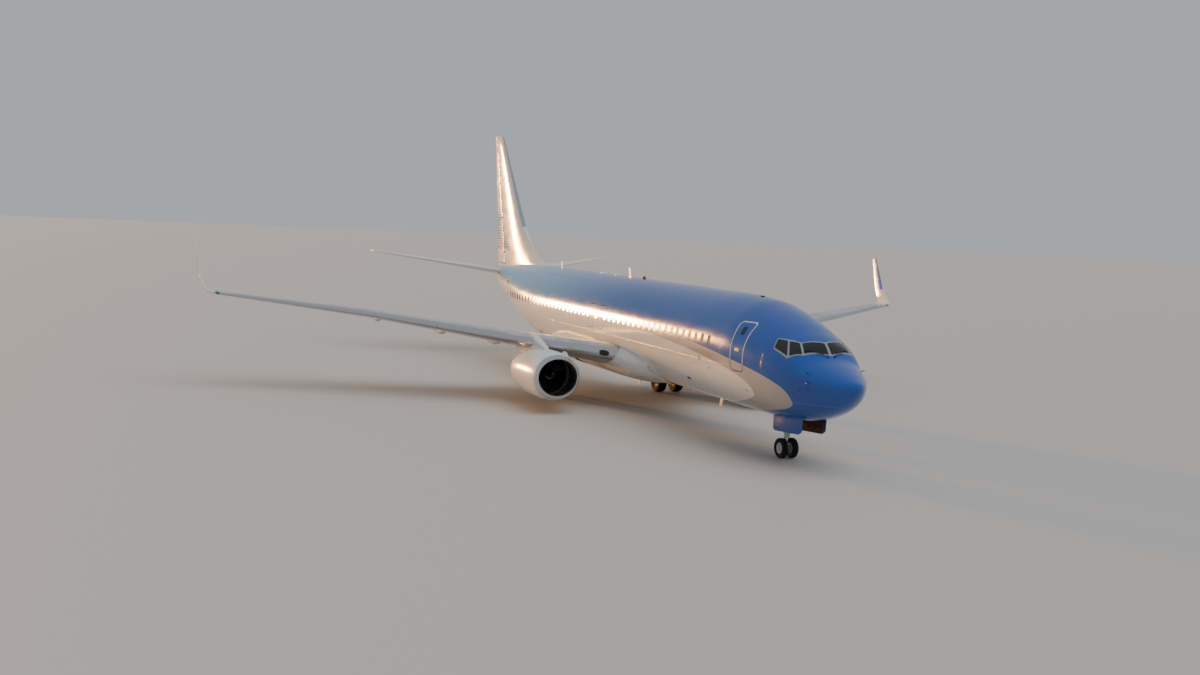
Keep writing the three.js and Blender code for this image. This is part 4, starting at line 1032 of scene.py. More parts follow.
print("wing-to-body fairing")
fairing = {
    # station, crown, keel, half width, height of the widest line
    "profile": [
        (12.4, 2.5, 1.44, 1.5, 2.1), (13.3, 2.8, 1.29, 1.86, 2.15), (14.5, 2.95, 1.18, 2.03, 2.15),
        (16, 2.98, 1.15, 2.08, 2.15), (21.2, 2.98, 1.15, 2.08, 2.15), (22.5, 2.85, 1.24, 1.96, 2.15),
        (23.9, 2.5, 1.44, 1.5, 2.1),
    ],
}
fairingAt = smoothTable(fairing["profile"])


def wellSlots():
    bm = bmesh.new()
    for side in sides.values():
        across = sorted((side * well["x"], side * well["slotEnd"]))
        slab(bm, (across[0], well["station"] - well["slotHalf"], well["slotFoot"]),
             (across[1], well["station"] + well["slotHalf"], well["slotRoof"]))
    return bm


fairingStations = between(fairing["profile"][0][0], fairing["profile"][-1][0], 0.2)
fairingSkin = lofted([ellipseRing(s, fairingAt(s), 96) for s in fairingStations])
fairingPiece = objectOf("wing_body_fairing_skin", fairingSkin, [whitePaint])
for cutter in (wellCylinders(), wellSlots()):
    carve(fairingPiece, objectOf("cut", cutter, [wellPaint]))
finished(fairingPiece, "root", "white_paint", ["wing_body_fairing"])

print("wings")
wing = {
    # x, leading edge, trailing edge, height of the leading edge, drop to the trailing edge, thickness
    "sections": [
        (1.0, 13.922, 21.2, 2.218, 0.26, 1.0), (1.88, 14.4, 21.2, 2.317, 0.24, 0.95),
        (5.7, 16.476, 21.2, 2.746, 0.11, 0.57), (11.0, 19.357, 22.472, 3.44, 0.04, 0.34),
        (17.16, 22.705, 23.95, 4.031, 0.0, 0.135),
    ],
    "slats": dict(span=(5.9, 16.5), share=0.1, joints=(8.6, 11.25, 13.9)),
    "flaps": {"inboard": dict(span=(2.15, 5.5), front=19.95, sweep=0.0),
              "outboard": dict(span=(5.8, 12.3), front=19.95, sweep=0.3)},
    "kink": 5.7, "gap": 0.006, "heights": (0.5, 6.5), "behind": 26.0, "ahead": 12.0,
    # the leading edge is bare metal from this x on, over this share of the chord
    "bareEdge": (1.9, 0.05),
}
wingAt = straightTable(wing["sections"])
aileron = dict(table=wingAt, span=(12.5, 15.7), share=0.75, hinges=(0.15, 0.5, 0.85), width=0.06,
               gap=0.008, ends=(0.03, 0.035), upright=False)


def wingRow(x):
    return (x, *wingAt(x))


def spanValues(stops, step):
    values = [stops[0]]
    for low, high in zip(stops, stops[1:]):
        values += between(low, high, step)[1:]
    return values


def chordStation(row, share):
    leading, trailing = row[:2]
    return leading + share * (trailing - leading)


def isAhead(point, row, share):
    return point.y - noseY < chordStation(row, share)


def planPrism(corners):
    bm = bmesh.new()
    prismOf(bm, [(x, yAt(s)) for x, s in corners], *wing["heights"])
    return bm


def flapFront(name, x):
    flap = wing["flaps"][name]
    return flap["front"] + flap["sweep"] * (x - wing["kink"])


def flapSpace(name):
    (start, end), gap = wing["flaps"][name]["span"], wing["gap"]
    return planPrism([(start - gap, flapFront(name, start)), (end + gap, flapFront(name, end)),
                      (end + gap, wing["behind"]), (start - gap, wing["behind"])])


def slatSpace():
    (start, end), gap = wing["slats"]["span"], wing["gap"]
    share, middle = wing["slats"]["share"], wing["sections"][3][0]
    line = [(x, chordStation(wingAt(x), share) + gap) for x in (start - gap, middle, end + gap)]
    return planPrism(line + [(end + gap, wing["ahead"]), (start - gap, wing["ahead"])])


def hingePoint(surface, value):
    # axis point, nose radius, trailing edge and its drop, as for a wing that lies across x
    row, share = surface["table"](value), surface["share"]
    leading, trailing, height, drop, thickness = row
    return (Vector((value, yAt(chordStation(row, share)), height - drop * share)), foilHalf(share, thickness),
            yAt(trailing), drop * (1 - share))


def stood(surface, points):
    return upright(points) if surface["upright"] else points


def surfaceRing(surface, value):
    # round nose about the hinge axis, then straight to the trailing edge
    centre, radius, rear, drop = hingePoint(surface, value)
    arc = [math.radians(90 + 180 * k / 20) for k in range(21)]
    ring = [Vector((value, centre.y + radius * math.cos(a), centre.z + radius * math.sin(a))) for a in arc]
    ring += [Vector((value, rear, centre.z - drop + half)) for half in (-0.004, 0.004)]
    return stood(surface, ring)


def hingeFrames(surface):
    # for each hinge: place, nose radius, direction of the axis, direction ahead
    near, far = (hingePoint(surface, value) for value in surface["span"])
    along = (far[0] - near[0]).normalized()
    forward = Vector((0, -1, 0))
    forward = (forward - along * forward.dot(along)).normalized()
    for share in surface["hinges"]:
        place, axis, ahead = stood(surface, [near[0].lerp(far[0], share), along, forward])
        yield place, near[1] + (far[1] - near[1]) * share, axis, ahead


def hingeSlots(surface):
    bm = bmesh.new()
    for centre, radius, along, forward in hingeFrames(surface):
        drum(bm, centre, turnTo(along), radius + surface["gap"], surface["width"], 32)
    return bm


def hingeLugs(surface):
    # round eye about the axis with a foot that reaches forward into the fixed part
    bm = bmesh.new()
    for centre, radius, along, forward in hingeFrames(surface):
        across = along.cross(forward)
        half = surface["width"] / 2 - 0.006
        places = []
        for end in (-half, half):
            for a in around(16):
                away = forward * math.cos(a) + across * math.sin(a)
                places.append(centre + along * end + away * radius * 0.6)
            for sign in (-1, 1):
                places.append(centre + along * end + forward * (radius + surface["gap"] + 0.04)
                              + across * radius * 0.3 * sign)
        hull = bmesh.ops.convex_hull(bm, input=[bm.verts.new(place) for place in places])
        spare = set(vertsOf(hull["geom_interior"] + hull["geom_unused"]))
        bmesh.ops.delete(bm, geom=list(spare), context="VERTS")
    return bm


def surfaceSkin(surface):
    return lofted([surfaceRing(surface, value) for value in between(*surface["span"], 0.8)])


def surfaceSpace(surface, behind):
    # what the fixed part is cut by: everything behind a line just ahead of the nose
    corners = []
    for value, end in zip(surface["span"], (-surface["ends"][0], surface["ends"][1])):
        centre, radius = hingePoint(surface, value + end)[:2]
        corners.append((value + end, centre.y - radius - surface["gap"]))
    (v0, y0), (v1, y1) = corners
    bm = bmesh.new()
    if surface["upright"]:
        prismOf(bm, [(y0, v0), (y1, v1), (yAt(behind), v1), (yAt(behind), v0)], -2, 2, "x")
    else:
        prismOf(bm, [(v0, y0), (v1, y1), (v1, yAt(behind)), (v0, yAt(behind))], *wing["heights"])
    return bm


def wingBox():
    stops = [row[0] for row in wing["sections"]]
    stops[-1] -= 0.001
    bm = lofted([foilRing(wingRow(x), count=61) for x in spanValues(stops, 0.6)])
    start, share = wing["bareEdge"]
    return paintFaces(bm, 1, lambda p: p.x > start and isAhead(p, wingAt(p.x), share))


def slatSkin():
    (start, end), middle = wing["slats"]["span"], wing["sections"][3][0]
    return lofted([foilRing(wingRow(x), back=wing["slats"]["share"], count=31)
                   for x in spanValues((start, middle, end), 0.5)])


def slatJoints():
    bm = bmesh.new()
    for x in wing["slats"]["joints"]:
        slab(bm, (x - 0.003, 17, 2), (x + 0.003, 23, 5), 0.0005)
    return bm


def flapSkin(name):
    (start, end), middle = wing["flaps"][name]["span"], wing["sections"][3][0]
    rings = []
    for x in spanValues((start, middle, end) if start < middle < end else (start, end), 0.5):
        leading, trailing = wingAt(x)[:2]
        front = (flapFront(name, x) + wing["gap"] - leading) / (trailing - leading)
        rings.append(foilRing(wingRow(x), front=front, count=40))
    return lofted(rings)


addPair("wing_box", wingBox, [wingPaint, aluminium, darkBay], "grey_paint", ["wing_{}"],
        cuts=[slatSpace, lambda: flapSpace("inboard"), lambda: flapSpace("outboard"),
              lambda: surfaceSpace(aileron, wing["behind"])])
addPair("slat_segments", slatSkin, [aluminium], "bare_metal", ["slats_{}"], cuts=[slatJoints])
for name in wing["flaps"]:
    addPair(f"flap_{name}_skin", lambda: flapSkin(name), [wingPaint], "grey_paint", [f"flap_{name}_{{}}"])
addPair("aileron_skin", lambda: surfaceSkin(aileron), [wingPaint], "grey_paint", ["aileron_{}"],
        body="aileron_{}", cuts=[lambda: hingeSlots(aileron)])
addPair("aileron_hinges", lambda: hingeLugs(aileron), [titanium], "bare_metal")

trackFairings = {
    # x, front, length, half width, depth
    "pods": [(5.65, 18.5, 3.05, 0.15, 0.33), (7.9, 19.25, 2.85, 0.14, 0.3), (10.5, 20.35, 2.6, 0.125, 0.26)],
    # share of the length, fullness, share of the depth that the middle hangs below the wing
    "shape": [(0, 0.08, 0), (0.12, 0.6, 0.1), (0.35, 1, 0.3), (0.65, 0.95, 0.34), (0.88, 0.5, 0.2),
              (1, 0.08, 0.05)],
}
podShape = smoothTable(trackFairings["shape"])


def trackPods():
    bm = bmesh.new()
    for x, front, length, halfWidth, depth in trackFairings["pods"]:
        leading, trailing, height, drop, thickness = wingAt(x)
        rings = []
        for share in between(0, 1, 0.04):
            fullness, sink = podShape(share)
            station = front + share * length
            chordShare = min(1.0, (station - leading) / (trailing - leading))
            middle = height - drop * chordShare - foilHalf(chordShare, thickness) - sink * depth
            half = fullness * depth / 2
            row = (middle + half, middle - half, fullness * halfWidth, middle)
            rings.append(ellipseRing(station, row, 40, x))
        loft(bm, rings)
    return bm


addPair("flap_track_fairings", trackPods, [wingPaint], "grey_paint", ["wing_{}"])

print("winglets")
winglet = {
    # distance along the bend, x, leading edge, trailing edge, height, thickness, lean in degrees
    "sections": [
        (0, 17.16, 22.705, 23.95, 4.031, 0.135, 0), (0.275, 17.42, 23.05, 24.15, 4.12, 0.11, 35),
        (0.519, 17.56, 23.42, 24.42, 4.32, 0.095, 62), (0.907, 17.64, 23.85, 24.75, 4.7, 0.08, 76),
        (2.632, 17.87, 24.95, 25.53, 6.41, 0.045, 82),
    ],
}
wingletAt = smoothTable(winglet["sections"])


def wingletSkin():
    bend, tip = winglet["sections"][3][0], winglet["sections"][-1][0]
    rings = []
    for t in between(0, bend, 0.045) + between(bend, tip, 0.1)[1:]:
        x, leading, trailing, height, thickness, lean = wingletAt(t)
        rings.append(foilRing((x, leading, trailing, height, 0, thickness), cant=lean))
    return lofted(rings)


addPair("winglet_skin", wingletSkin, [wingletPaint], "blue_paint", ["winglet_{}"])

print("tail")
tail = {
    # as for the wing
    "stabiliser": [(0.25, 33.955, 37.66, 4.74, 0, 0.4), (0.9, 34.4, 37.83, 4.82, 0, 0.36),
                   (7.175, 38.56, 39.47, 5.59, 0, 0.085)],
    # height, leading edge, trailing edge, middle, drop, thickness
    "fin": [(5.0, 30.78, 37.33, 0, 0, 0.74), (6.51, 32.09, 37.63, 0, 0, 0.64),
            (12.38, 37.19, 38.77, 0, 0, 0.19), (12.55, 37.5, 38.7, 0, 0, 0.09)],
    # height, leading edge of the fillet that joins the fin to the body
    "fillet": [(5.0, 27.2), (5.25, 27.75), (5.4, 28.45), (5.5, 29.1), (5.67, 29.86), (5.9, 30.5), (6.2, 31.13),
               (6.5, 31.66), (6.9, 32.24), (7.35, 32.76), (7.9, 33.29)],
    "behind": 41.0,
    # as for the wing, from this height on
    "bareEdge": (7.3, 0.022),
}
stabiliserAt, finAt = straightTable(tail["stabiliser"]), straightTable(tail["fin"])
filletAt = smoothTable(tail["fillet"])
filletTop = tail["fillet"][-1][0]
elevator = dict(table=stabiliserAt, span=(0.8, 6.9), share=0.7, hinges=(0.12, 0.5, 0.88), width=0.07,
                gap=0.008, ends=(0.06, 0.04), upright=False)
rudder = dict(table=finAt, span=(5.26, 12.33), share=0.71, hinges=(0.08, 0.36, 0.64, 0.92), width=0.09,
              gap=0.015, ends=(0.09, 0.03), upright=True)


def stabiliserSkin():
    stops = [row[0] for row in tail["stabiliser"]]
    return lofted([foilRing((x, *stabiliserAt(x)), count=49) for x in spanValues(stops, 0.6)])


addPair("stabiliser_skin", stabiliserSkin, [whitePaint, darkBay], "white_paint", ["stabiliser_{}"],
        cuts=[lambda: surfaceSpace(elevator, tail["behind"])])
addPair("elevator_skin", lambda: surfaceSkin(elevator), [whitePaint], "white_paint", ["elevator_{}"],
        body="elevator_{}", cuts=[lambda: hingeSlots(elevator)])
addPair("elevator_hinges", lambda: hingeLugs(elevator), [titanium], "bare_metal")


def finRing(height):
    # the fin's section; near the body the part ahead of its widest line is drawn out into the fillet
    row = finAt(height)
    ring = upright(foilRing((height, *row), count=61))
    if height < filletTop:
        widest, leading = yAt(chordStation(row, 0.3)), row[0]
        front = yAt(min(leading, float(filletAt(height)[0])))
        stretch = (widest - front) / (widest - yAt(leading))
        for point in ring:
            if point.y < widest:
                point.y = widest + (point.y - widest) * stretch
                share = max(0.0, (point.y - front) / (widest - front))
                point.x *= share ** (0.5 - 0.5 / stretch)
    return ring


finStops = [row[0] for row in tail["fin"]]
finHeights = between(finStops[0], filletTop, 0.08) + spanValues((filletTop, *finStops[-2:]), 0.5)[1:]
finSkin = lofted([finRing(z) for z in finHeights])
bareFoot, bareShare = tail["bareEdge"]
paintFaces(finSkin, 1, lambda p: p.z > bareFoot and isAhead(p, finAt(p.z), bareShare))
finPiece = objectOf("fin_skin", finSkin, [finPaint, aluminium, darkBay])
carve(finPiece, objectOf("cut", surfaceSpace(rudder, tail["behind"]), [darkBay]))
finished(finPiece, "root", "white_paint", ["fin"])
rudderPiece = objectOf("rudder_skin", surfaceSkin(rudder), [finPaint])
carve(rudderPiece, objectOf("cut", hingeSlots(rudder), [finPaint]))
finished(rudderPiece, "rudder", "white_paint", ["rudder"])
addPiece("rudder_hinges", hingeLugs(rudder), [titanium], "root", "bare_metal")

print("engines")
engine = {
    "x": 4.83, "height": 1.53, "fan": 14.65,
    # where the tables of the outside and the duct have their root
    "origin": 13.49,
    # station, crown, keel, half width
    "outside": [(13.5, 2.275, 0.755, 0.84), (13.545, 2.345, 0.69, 0.905), (13.66, 2.405, 0.625, 0.96),
                (13.95, 2.455, 0.56, 1.005), (14.7, 2.495, 0.5, 1.04), (15.6, 2.47, 0.5, 1.04),
                (16.4, 2.33, 0.56, 0.985), (17.05, 2.16, 0.69, 0.83)],
    "duct": [(13.495, 2.268, 0.762, 0.833), (13.56, 2.225, 0.795, 0.795), (13.76, 2.215, 0.8, 0.778),
             (14.25, 2.295, 0.785, 0.775), (14.5, 2.322, 0.738, 0.792), (15.8, 2.322, 0.738, 0.792),
             (17.055, 2.145, 0.705, 0.815)],
    # station, radius
    "core": [(14.9, 0.27), (15.05, 0.38), (15.5, 0.52), (16.2, 0.57), (17.0, 0.5), (17.7, 0.37)],
    "plug": [(17.3, 0.285), (17.7, 0.25), (17.95, 0.19), (18.25, 0.06)],
    # distance behind the fan, radius
    "spinner": [(-0.45, 0.008), (-0.39, 0.07), (-0.25, 0.15), (-0.1, 0.215), (0.02, 0.235), (0.25, 0.262)],
    # radius, chord, stagger in degrees, thickness
    "blade": [(0.2, 0.19, 20, 0.024), (0.777, 0.26, 60, 0.008)],
    "blades": 24, "guideVanes": 42, "lip": 13.69, "liner": 14.43,
    # distances behind the fan: the spinner's tip and back
    "spinnerEnds": (-0.451, 0.25),
    # station, half width; station, top; station, bottom
    "pylonPlan": [(14.6, 0.015), (15.1, 0.12), (15.9, 0.19), (17.6, 0.19), (19.3, 0.02)],
    "pylonTop": [(14.65, 2.42), (15.1, 2.59), (15.9, 2.8), (16.5, 2.96), (19.3, 2.7)],
    "pylonFoot": [(14.65, 2.42), (16.4, 2.285), (17.06, 2.152), (17.1, 1.9), (17.9, 1.9), (18.9, 2.25),
                  (19.3, 2.7)],
}
outsideAt, ductAt = (rootTable(engine[key], engine["origin"]) for key in ("outside", "duct"))


def nacelleRings(table, first, last):
    origin = engine["origin"]
    stations = [origin + r * r for r in between(math.sqrt(first - origin), math.sqrt(last - origin), 0.055)]
    return [ellipseRing(s, (*table(s), engine["height"]), 112, engine["x"]) for s in stations]


def nacelleSkin():
    rings = nacelleRings(outsideAt, 13.5, 17.05) + nacelleRings(ductAt, 13.495, 17.055)[::-1]
    bm = lofted(rings + [rings[0]], closed=True)
    for face in bm.faces:
        middle = face.calc_center_median()
        station = middle.y - noseY
        inside = math.hypot(middle.x - engine["x"], middle.z - engine["height"]) < ductAt(station)[2] + 0.02
        if station < engine["lip"] or (inside and station < engine["lip"] + 0.16):
            face.material_index = 1
        elif inside and station < 16.9:
            face.material_index = 2 if station < engine["liner"] else 3
    return bm


def coreBody():
    coreAt, plugAt = smoothTable(engine["core"]), smoothTable(engine["plug"])
    front, nozzle = engine["core"][0][0], engine["core"][-1][0]
    plugFront, plugEnd = engine["plug"][0][0], engine["plug"][-1][0]
    outline = [(front, 0)] + [(s, coreAt(s)[0]) for s in between(front, nozzle, 0.08)]
    outline += [(nozzle, 0.362), (17.5, 0.385), (plugFront, 0.395)]
    outline += [(s, plugAt(s)[0]) for s in between(plugFront, plugEnd, 0.05)] + [(18.26, 0.03), (18.262, 0)]
    bm = lathed([(s - front, r) for s, r in outline], (engine["x"], yAt(front), engine["height"]), 96)
    return paintFaces(bm, 1, lambda p: p.y - noseY > 16.95)


def ringOf(rings, count, centre):
    # copies of one blade, even round an axis along the aircraft
    bm = bmesh.new()
    for angle in around(count):
        part = lofted(rings)
        place = Matrix.Translation(centre) @ Matrix.Rotation(angle, 4, "Y")
        bmesh.ops.transform(part, matrix=place, verts=part.verts)
        merged(bm, part)
    return bm


def vaneSet(stations, foot, tip, thickness, count):
    # plates with a wing-like section that stand round the core
    rings = [standingFoil(*stations, thickness, radius, count=15) for radius in (foot, tip)]
    return ringOf(rings, count, (engine["x"], 0, engine["height"]))


def bladeRing(radius, chord, stagger, thickness):
    # thin cambered section that lies across the blade, turned by its stagger
    lean = math.radians(stagger)
    ring = []
    for a in around(16, 0.5):
        along = chord / 2 * math.cos(a)
        bow = 0.06 * chord * (1 - (2 * along / chord) ** 2)
        away = thickness / 2 * math.sin(a) + bow
        ring.append(Vector((along * math.sin(lean) + away * math.cos(lean),
                            along * math.cos(lean) - away * math.sin(lean), radius)))
    return ring


def fanBlades(side):
    bladeAt = smoothTable(engine["blade"])
    foot, tip = (row[0] for row in engine["blade"])
    rings = [bladeRing(r, *bladeAt(r)) for r in between(foot, tip, 0.06)]
    return ringOf(rings, engine["blades"], (side * engine["x"], yAt(engine["fan"]), engine["height"]))


spinnerTip, spinnerBack = engine["spinnerEnds"]
spinnerAt = rootTable(engine["spinner"], spinnerTip)


def spinnerBody(side):
    length = spinnerBack - spinnerTip
    reach = [r * r for r in between(math.sqrt(0.001), math.sqrt(length), 0.04)]
    outline = [(0, 0)] + [(a, spinnerAt(spinnerTip + a)[0]) for a in reach] + [(length, 0)]
    return lathed(outline, (side * engine["x"], yAt(engine["fan"] + spinnerTip), engine["height"]), 72)


def spinnerMark(side):
    # painted spiral that shows whether the fan turns, as a thin raised film
    bm = bmesh.new()
    bmesh.ops.create_grid(bm, x_segments=48, y_segments=2, size=0.5)
    for vert in bm.verts:
        along, across = vert.co.x + 0.5, vert.co.y
        angle = 1.75 * math.pi * along
        behind = -0.40 + 0.30 * along + across * 0.055 * math.sin(math.pi * min(1, along * 1.15)) ** 0.7
        radius = spinnerAt(behind)[0] + 0.0015
        vert.co = Vector((side * engine["x"] + radius * math.sin(angle), yAt(engine["fan"] + behind),
                          engine["height"] + radius * math.cos(angle)))
    bmesh.ops.solidify(bm, geom=bm.faces[:], thickness=0.001)
    return bm


def superRing(station, centreX, middle, halfWide, halfTall):
    # section between an ellipse and a box
    power = 2 / 3.5
    ring = []
    for a in around(32):
        c, s = math.cos(a), math.sin(a)
        ring.append(Vector((centreX + math.copysign(abs(c) ** power, c) * halfWide, yAt(station),
                            middle + math.copysign(abs(s) ** power, s) * halfTall)))
    return ring


def pylonSkin():
    plan, top, foot = (straightTable(engine[key]) for key in ("pylonPlan", "pylonTop", "pylonFoot"))
    rings = []
    for station in between(14.66, 19.28, 0.08):
        high, low = top(station)[0], foot(station)[0]
        rings.append(superRing(station, engine["x"], (high + low) / 2, plan(station)[0],
                               max(0.012, (high - low) / 2)))
    return paintFaces(lofted(rings), 1, lambda p: p.y - noseY > 17.1 and p.z < foot(p.y - noseY)[0] + 0.12)


strakeSizes = dict(lean=48, front=14.3, length=0.95, tall=0.19, sunk=0.03, halfThickness=0.006)


def strake():
    # thin vortex fin on the inner side of the nacelle
    lean = math.radians(strakeSizes["lean"])
    reach = Vector((-math.cos(lean), 0, math.sin(lean)))
    across = Vector((math.sin(lean), 0, math.cos(lean))) * strakeSizes["halfThickness"]
    rings = []
    for share in between(0, 1, 0.1):
        station = strakeSizes["front"] + strakeSizes["length"] * share
        crown, keel, half = outsideAt(station)
        skin = Vector((engine["x"] - half * math.cos(lean), yAt(station),
                       engine["height"] + (crown - engine["height"]) * math.sin(lean)))
        foot = skin - reach * strakeSizes["sunk"]
        tip = skin + reach * (strakeSizes["tall"] * min(1, share * 1.6) ** 0.8 + 0.004)
        rings.append([foot - across, tip - across * 0.5, tip + across * 0.5, foot + across])
    return lofted(rings)


addPair("nacelle_skin", nacelleSkin, [cowlPaint, lipMetal, darkLiner, ductPaint], "white_paint", ["nacelle_{}"])
addPair("nacelle_strake", strake, [cowlPaint], "white_paint")
addPair("engine_core_body", coreBody, [coreMetal, hotMetal], "engine_metal", ["engine_core_{}"])
addPair("guide_vanes", lambda: vaneSet((15.25, 15.48), 0.42, 0.8, 0.012, engine["guideVanes"]), [coreMetal],
        "engine_metal", ["engine_core_{}"])
addPair("duct_bifurcations", lambda: vaneSet((15.49, 16.2), 0.45, 0.8, 0.11, 2), [ductPaint], "engine_metal",
        ["engine_core_{}"])
addPair("pylon_skin", pylonSkin, [cowlPaint, hotMetal], "white_paint", ["pylon_{}"])
for sideName, side in sides.items():
    fan = f"fan_{sideName}"
    addPiece(f"fan_blades_{sideName}", fanBlades(side), [titanium], fan, "fan_metal", [fan])
    addPiece(f"spinner_{sideName}", spinnerBody(side), [spinnerPaint], fan, "fan_metal", [fan])
    addPiece(f"spinner_spiral_{sideName}", spinnerMark(side), [markPaint], fan, "white_paint")

print("landing gear")
gear = {
    "main": dict(x=2.86, station=19.61, tyre=0.565, half=0.21, offset=0.43, rim=0.267, axle=0.065),
    "nose": dict(x=0.0, station=4.01, tyre=0.343, half=0.1, offset=0.205, rim=0.191, axle=0.036),
}
mainLeg = {
    # where the cylinder starts, and its outline: height above that, radius
    "foot": 1.15,
    "cylinder": [(0, 0), (0, 0.105), (0.012, 0.122), (0.05, 0.13), (0.1, 0.13), (0.112, 0.118), (0.44, 0.118),
                 (0.455, 0.13), (0.53, 0.13), (0.545, 0.118), (0.9, 0.118), (0.93, 0.13), (1.15, 0.13),
                 (1.15, 0)],
    # ends (x, station, height) and radius of the side strut and the drag strut, each with its lug
    "struts": [((2.86, 19.61, 1.45), (2.0, 19.61, 1.825), 0.05),
               ((2.77, 19.61, 1.45), (2.66, 19.61, 1.53), 0.068),
               ((2.86, 19.61, 1.65), (2.92, 18.75, 2.35), 0.048),
               ((2.86, 19.53, 1.71), (2.875, 19.41, 1.81), 0.062)],
    # heights of the arms that hold the strut door, how far out they reach, half their width and thickness
    "doorArms": dict(heights=(1.41, 1.885), end=3.205, halfWidth=0.03, half=0.028),
    "door": ((3.2, 19.23, 1.17), (3.24, 19.9, 2.4)),
    "piston": dict(foot=0.78, top=1.2, radius=0.083),
    # along the axle, radius
    "sleeve": [(0, 0.074), (0, 0.115), (0.02, 0.12), (0.24, 0.12), (0.26, 0.115), (0.26, 0.074)],
    # distance out and distance behind the leg's axis, height
    "hose": [(0.05, -0.12, 0.66), (0.1, -0.2, 0.8), (0.06, -0.17, 1.1), (0.05, -0.145, 1.4),
             (0.05, -0.14, 2.0)],
    "hoseRadius": 0.011, "clamps": (1.22, 1.55, 1.9),
}
noseLeg = {
    "foot": 0.822,
    "cylinder": [(0, 0), (0, 0.105), (0.012, 0.12), (0.16, 0.12), (0.18, 0.09), (0.2, 0.085), (0.52, 0.085),
                 (0.53, 0.098), (0.6, 0.098), (0.61, 0.085), (1.43, 0.085), (1.43, 0)],
    # drag strut, arm of the taxi light, steering jacks
    "struts": [((0, 4.01, 1.25), (0, 3.15, 2.25), 0.04), ((0, 4.01, 1.15), (0, 3.93, 1.15), 0.05),
               ((-0.1, 3.95, 0.93), (-0.1, 4.13, 0.93), 0.035), ((0.1, 3.95, 0.93), (0.1, 4.13, 0.93), 0.035)],
    "collarFoot": 0.7,
    "collar": [(0, 0), (0, 0.09), (0.01, 0.095), (0.107, 0.095), (0.117, 0.09), (0.117, 0)],
    "sleeve": [(0, 0.043), (0, 0.071), (0.012, 0.075), (0.138, 0.075), (0.15, 0.071), (0.15, 0.043)],
    "piston": dict(foot=0.5, top=0.71, radius=0.05),
}
alongX = Matrix.Rotation(math.pi / 2, 4, "Y")


def tyreOutline(leg):
    # from bead to bead over the tread, with four grooves; distance across and radius
    half, radius, bead = leg["half"], leg["tyre"], leg["rim"] + 0.002
    outline = []
    wall = [(0.72, 0.0), (0.86, 0.06), (0.95, 0.2), (0.99, 0.38), (1.0, 0.5), (0.985, 0.64), (0.94, 0.77),
            (0.86, 0.87), (0.75, 0.935)]
    for across, rise in wall:
        outline.append((-across * half, bead + rise * (radius - bead)))
    groove = 0.03 * half
    for centre in (-0.5, -0.17, 0.17, 0.5):
        for offset, deep in ((-1.3, 0), (-1, 1), (1, 1), (1.3, 0)):
            across = centre * half + offset * groove
            crown = radius - 0.05 * (radius - bead) * (across / (0.75 * half)) ** 2
            outline.append((across, crown - deep * 0.055 * (radius - bead)))
        if centre == -0.17:
            outline.append((0, radius))
    for across, rise in reversed(wall):
        outline.append((across * half, bead + rise * (radius - bead)))
    return outline


def tyre(leg, centre):
    foot = [(across * leg["half"], leg["rim"] + 0.001) for across in (0.6, -0.6)]
    return lathed(tyreOutline(leg) + foot, centre, 96, (1, 0, 0), closed=True)


def hub(leg, centre, out):
    # one wheel: rim with lips, dished web and hub cap; out is +1 or -1 along x
    rim, width, axle = leg["rim"], leg["half"] * 0.72, leg["axle"]
    outline = [
        (width * 0.9, 0), (width * 0.9, axle), (width * 0.8, axle * 1.28), (width * 0.35, axle * 1.4),
        (width * 0.28, rim * 0.62), (width * 0.62, rim * 0.8), (width * 0.94, rim * 0.86), (width, rim * 0.89),
        (width, rim * 0.975), (width * 0.9, rim * 0.99), (width * 0.84, rim * 0.965),
        (-width * 0.84, rim * 0.965), (-width * 0.9, rim * 0.99), (-width, rim * 0.975), (-width, rim * 0.9),
        (-width * 0.1, rim * 0.84), (-width * 0.02, rim * 0.6), (-width * 0.05, axle * 1.5),
        (-width * 0.9, axle * 1.25), (-width * 0.9, 0),
    ]
    return lathed([(out * a, r) for a, r in outline], centre, 72, (1, 0, 0))


def circled(bm, centre, shift, circle, count, first, radius, depth, segments, endRadius=None):
    # round bars along x, even on a circle about the centre and moved along x by the shift
    for a in around(count, first):
        spot = Vector(centre) + Vector((shift, math.sin(a) * circle, math.cos(a) * circle))
        drum(bm, spot, alongX, radius, depth, segments, endRadius)


def hubHoles(leg, centre, out):
    half, rim = leg["half"], leg["rim"]
    return built(lambda bm: circled(bm, centre, out * half * 0.3, rim * 0.66, 9, 0.0, rim * 0.1,
                                    half * 0.9, 20))


def hubBolts(leg, centre, out):
    half, rim = leg["half"], leg["rim"]
    return built(lambda bm: circled(bm, centre, out * half * 0.2232, rim * 0.5, 12, 0.5, rim * 0.035, 0.03, 6))


def hose(bm, points, radius):
    # tube along a smooth path through (x, station, height) points
    ways = np.array([(p[0], yAt(p[1]), p[2]) for p in points], float)
    lengths = np.concatenate([[0], np.cumsum(np.linalg.norm(np.diff(ways, axis=0), axis=1))])
    path = smoothTable(np.column_stack([lengths, ways]))
    centres = [Vector(path(t)) for t in np.linspace(0, lengths[-1], 8 * (len(points) - 1) + 1)]
    across = (centres[1] - centres[0]).orthogonal()
    rings = []
    for k, centre in enumerate(centres):
        ahead = (centres[min(k + 1, len(centres) - 1)] - centres[max(k - 1, 0)]).normalized()
        across = (across - ahead * across.dot(ahead)).normalized()
        other = ahead.cross(across)
        rings.append([centre + (across * math.cos(a) + other * math.sin(a)) * radius for a in around(10)])
    loft(bm, rings)


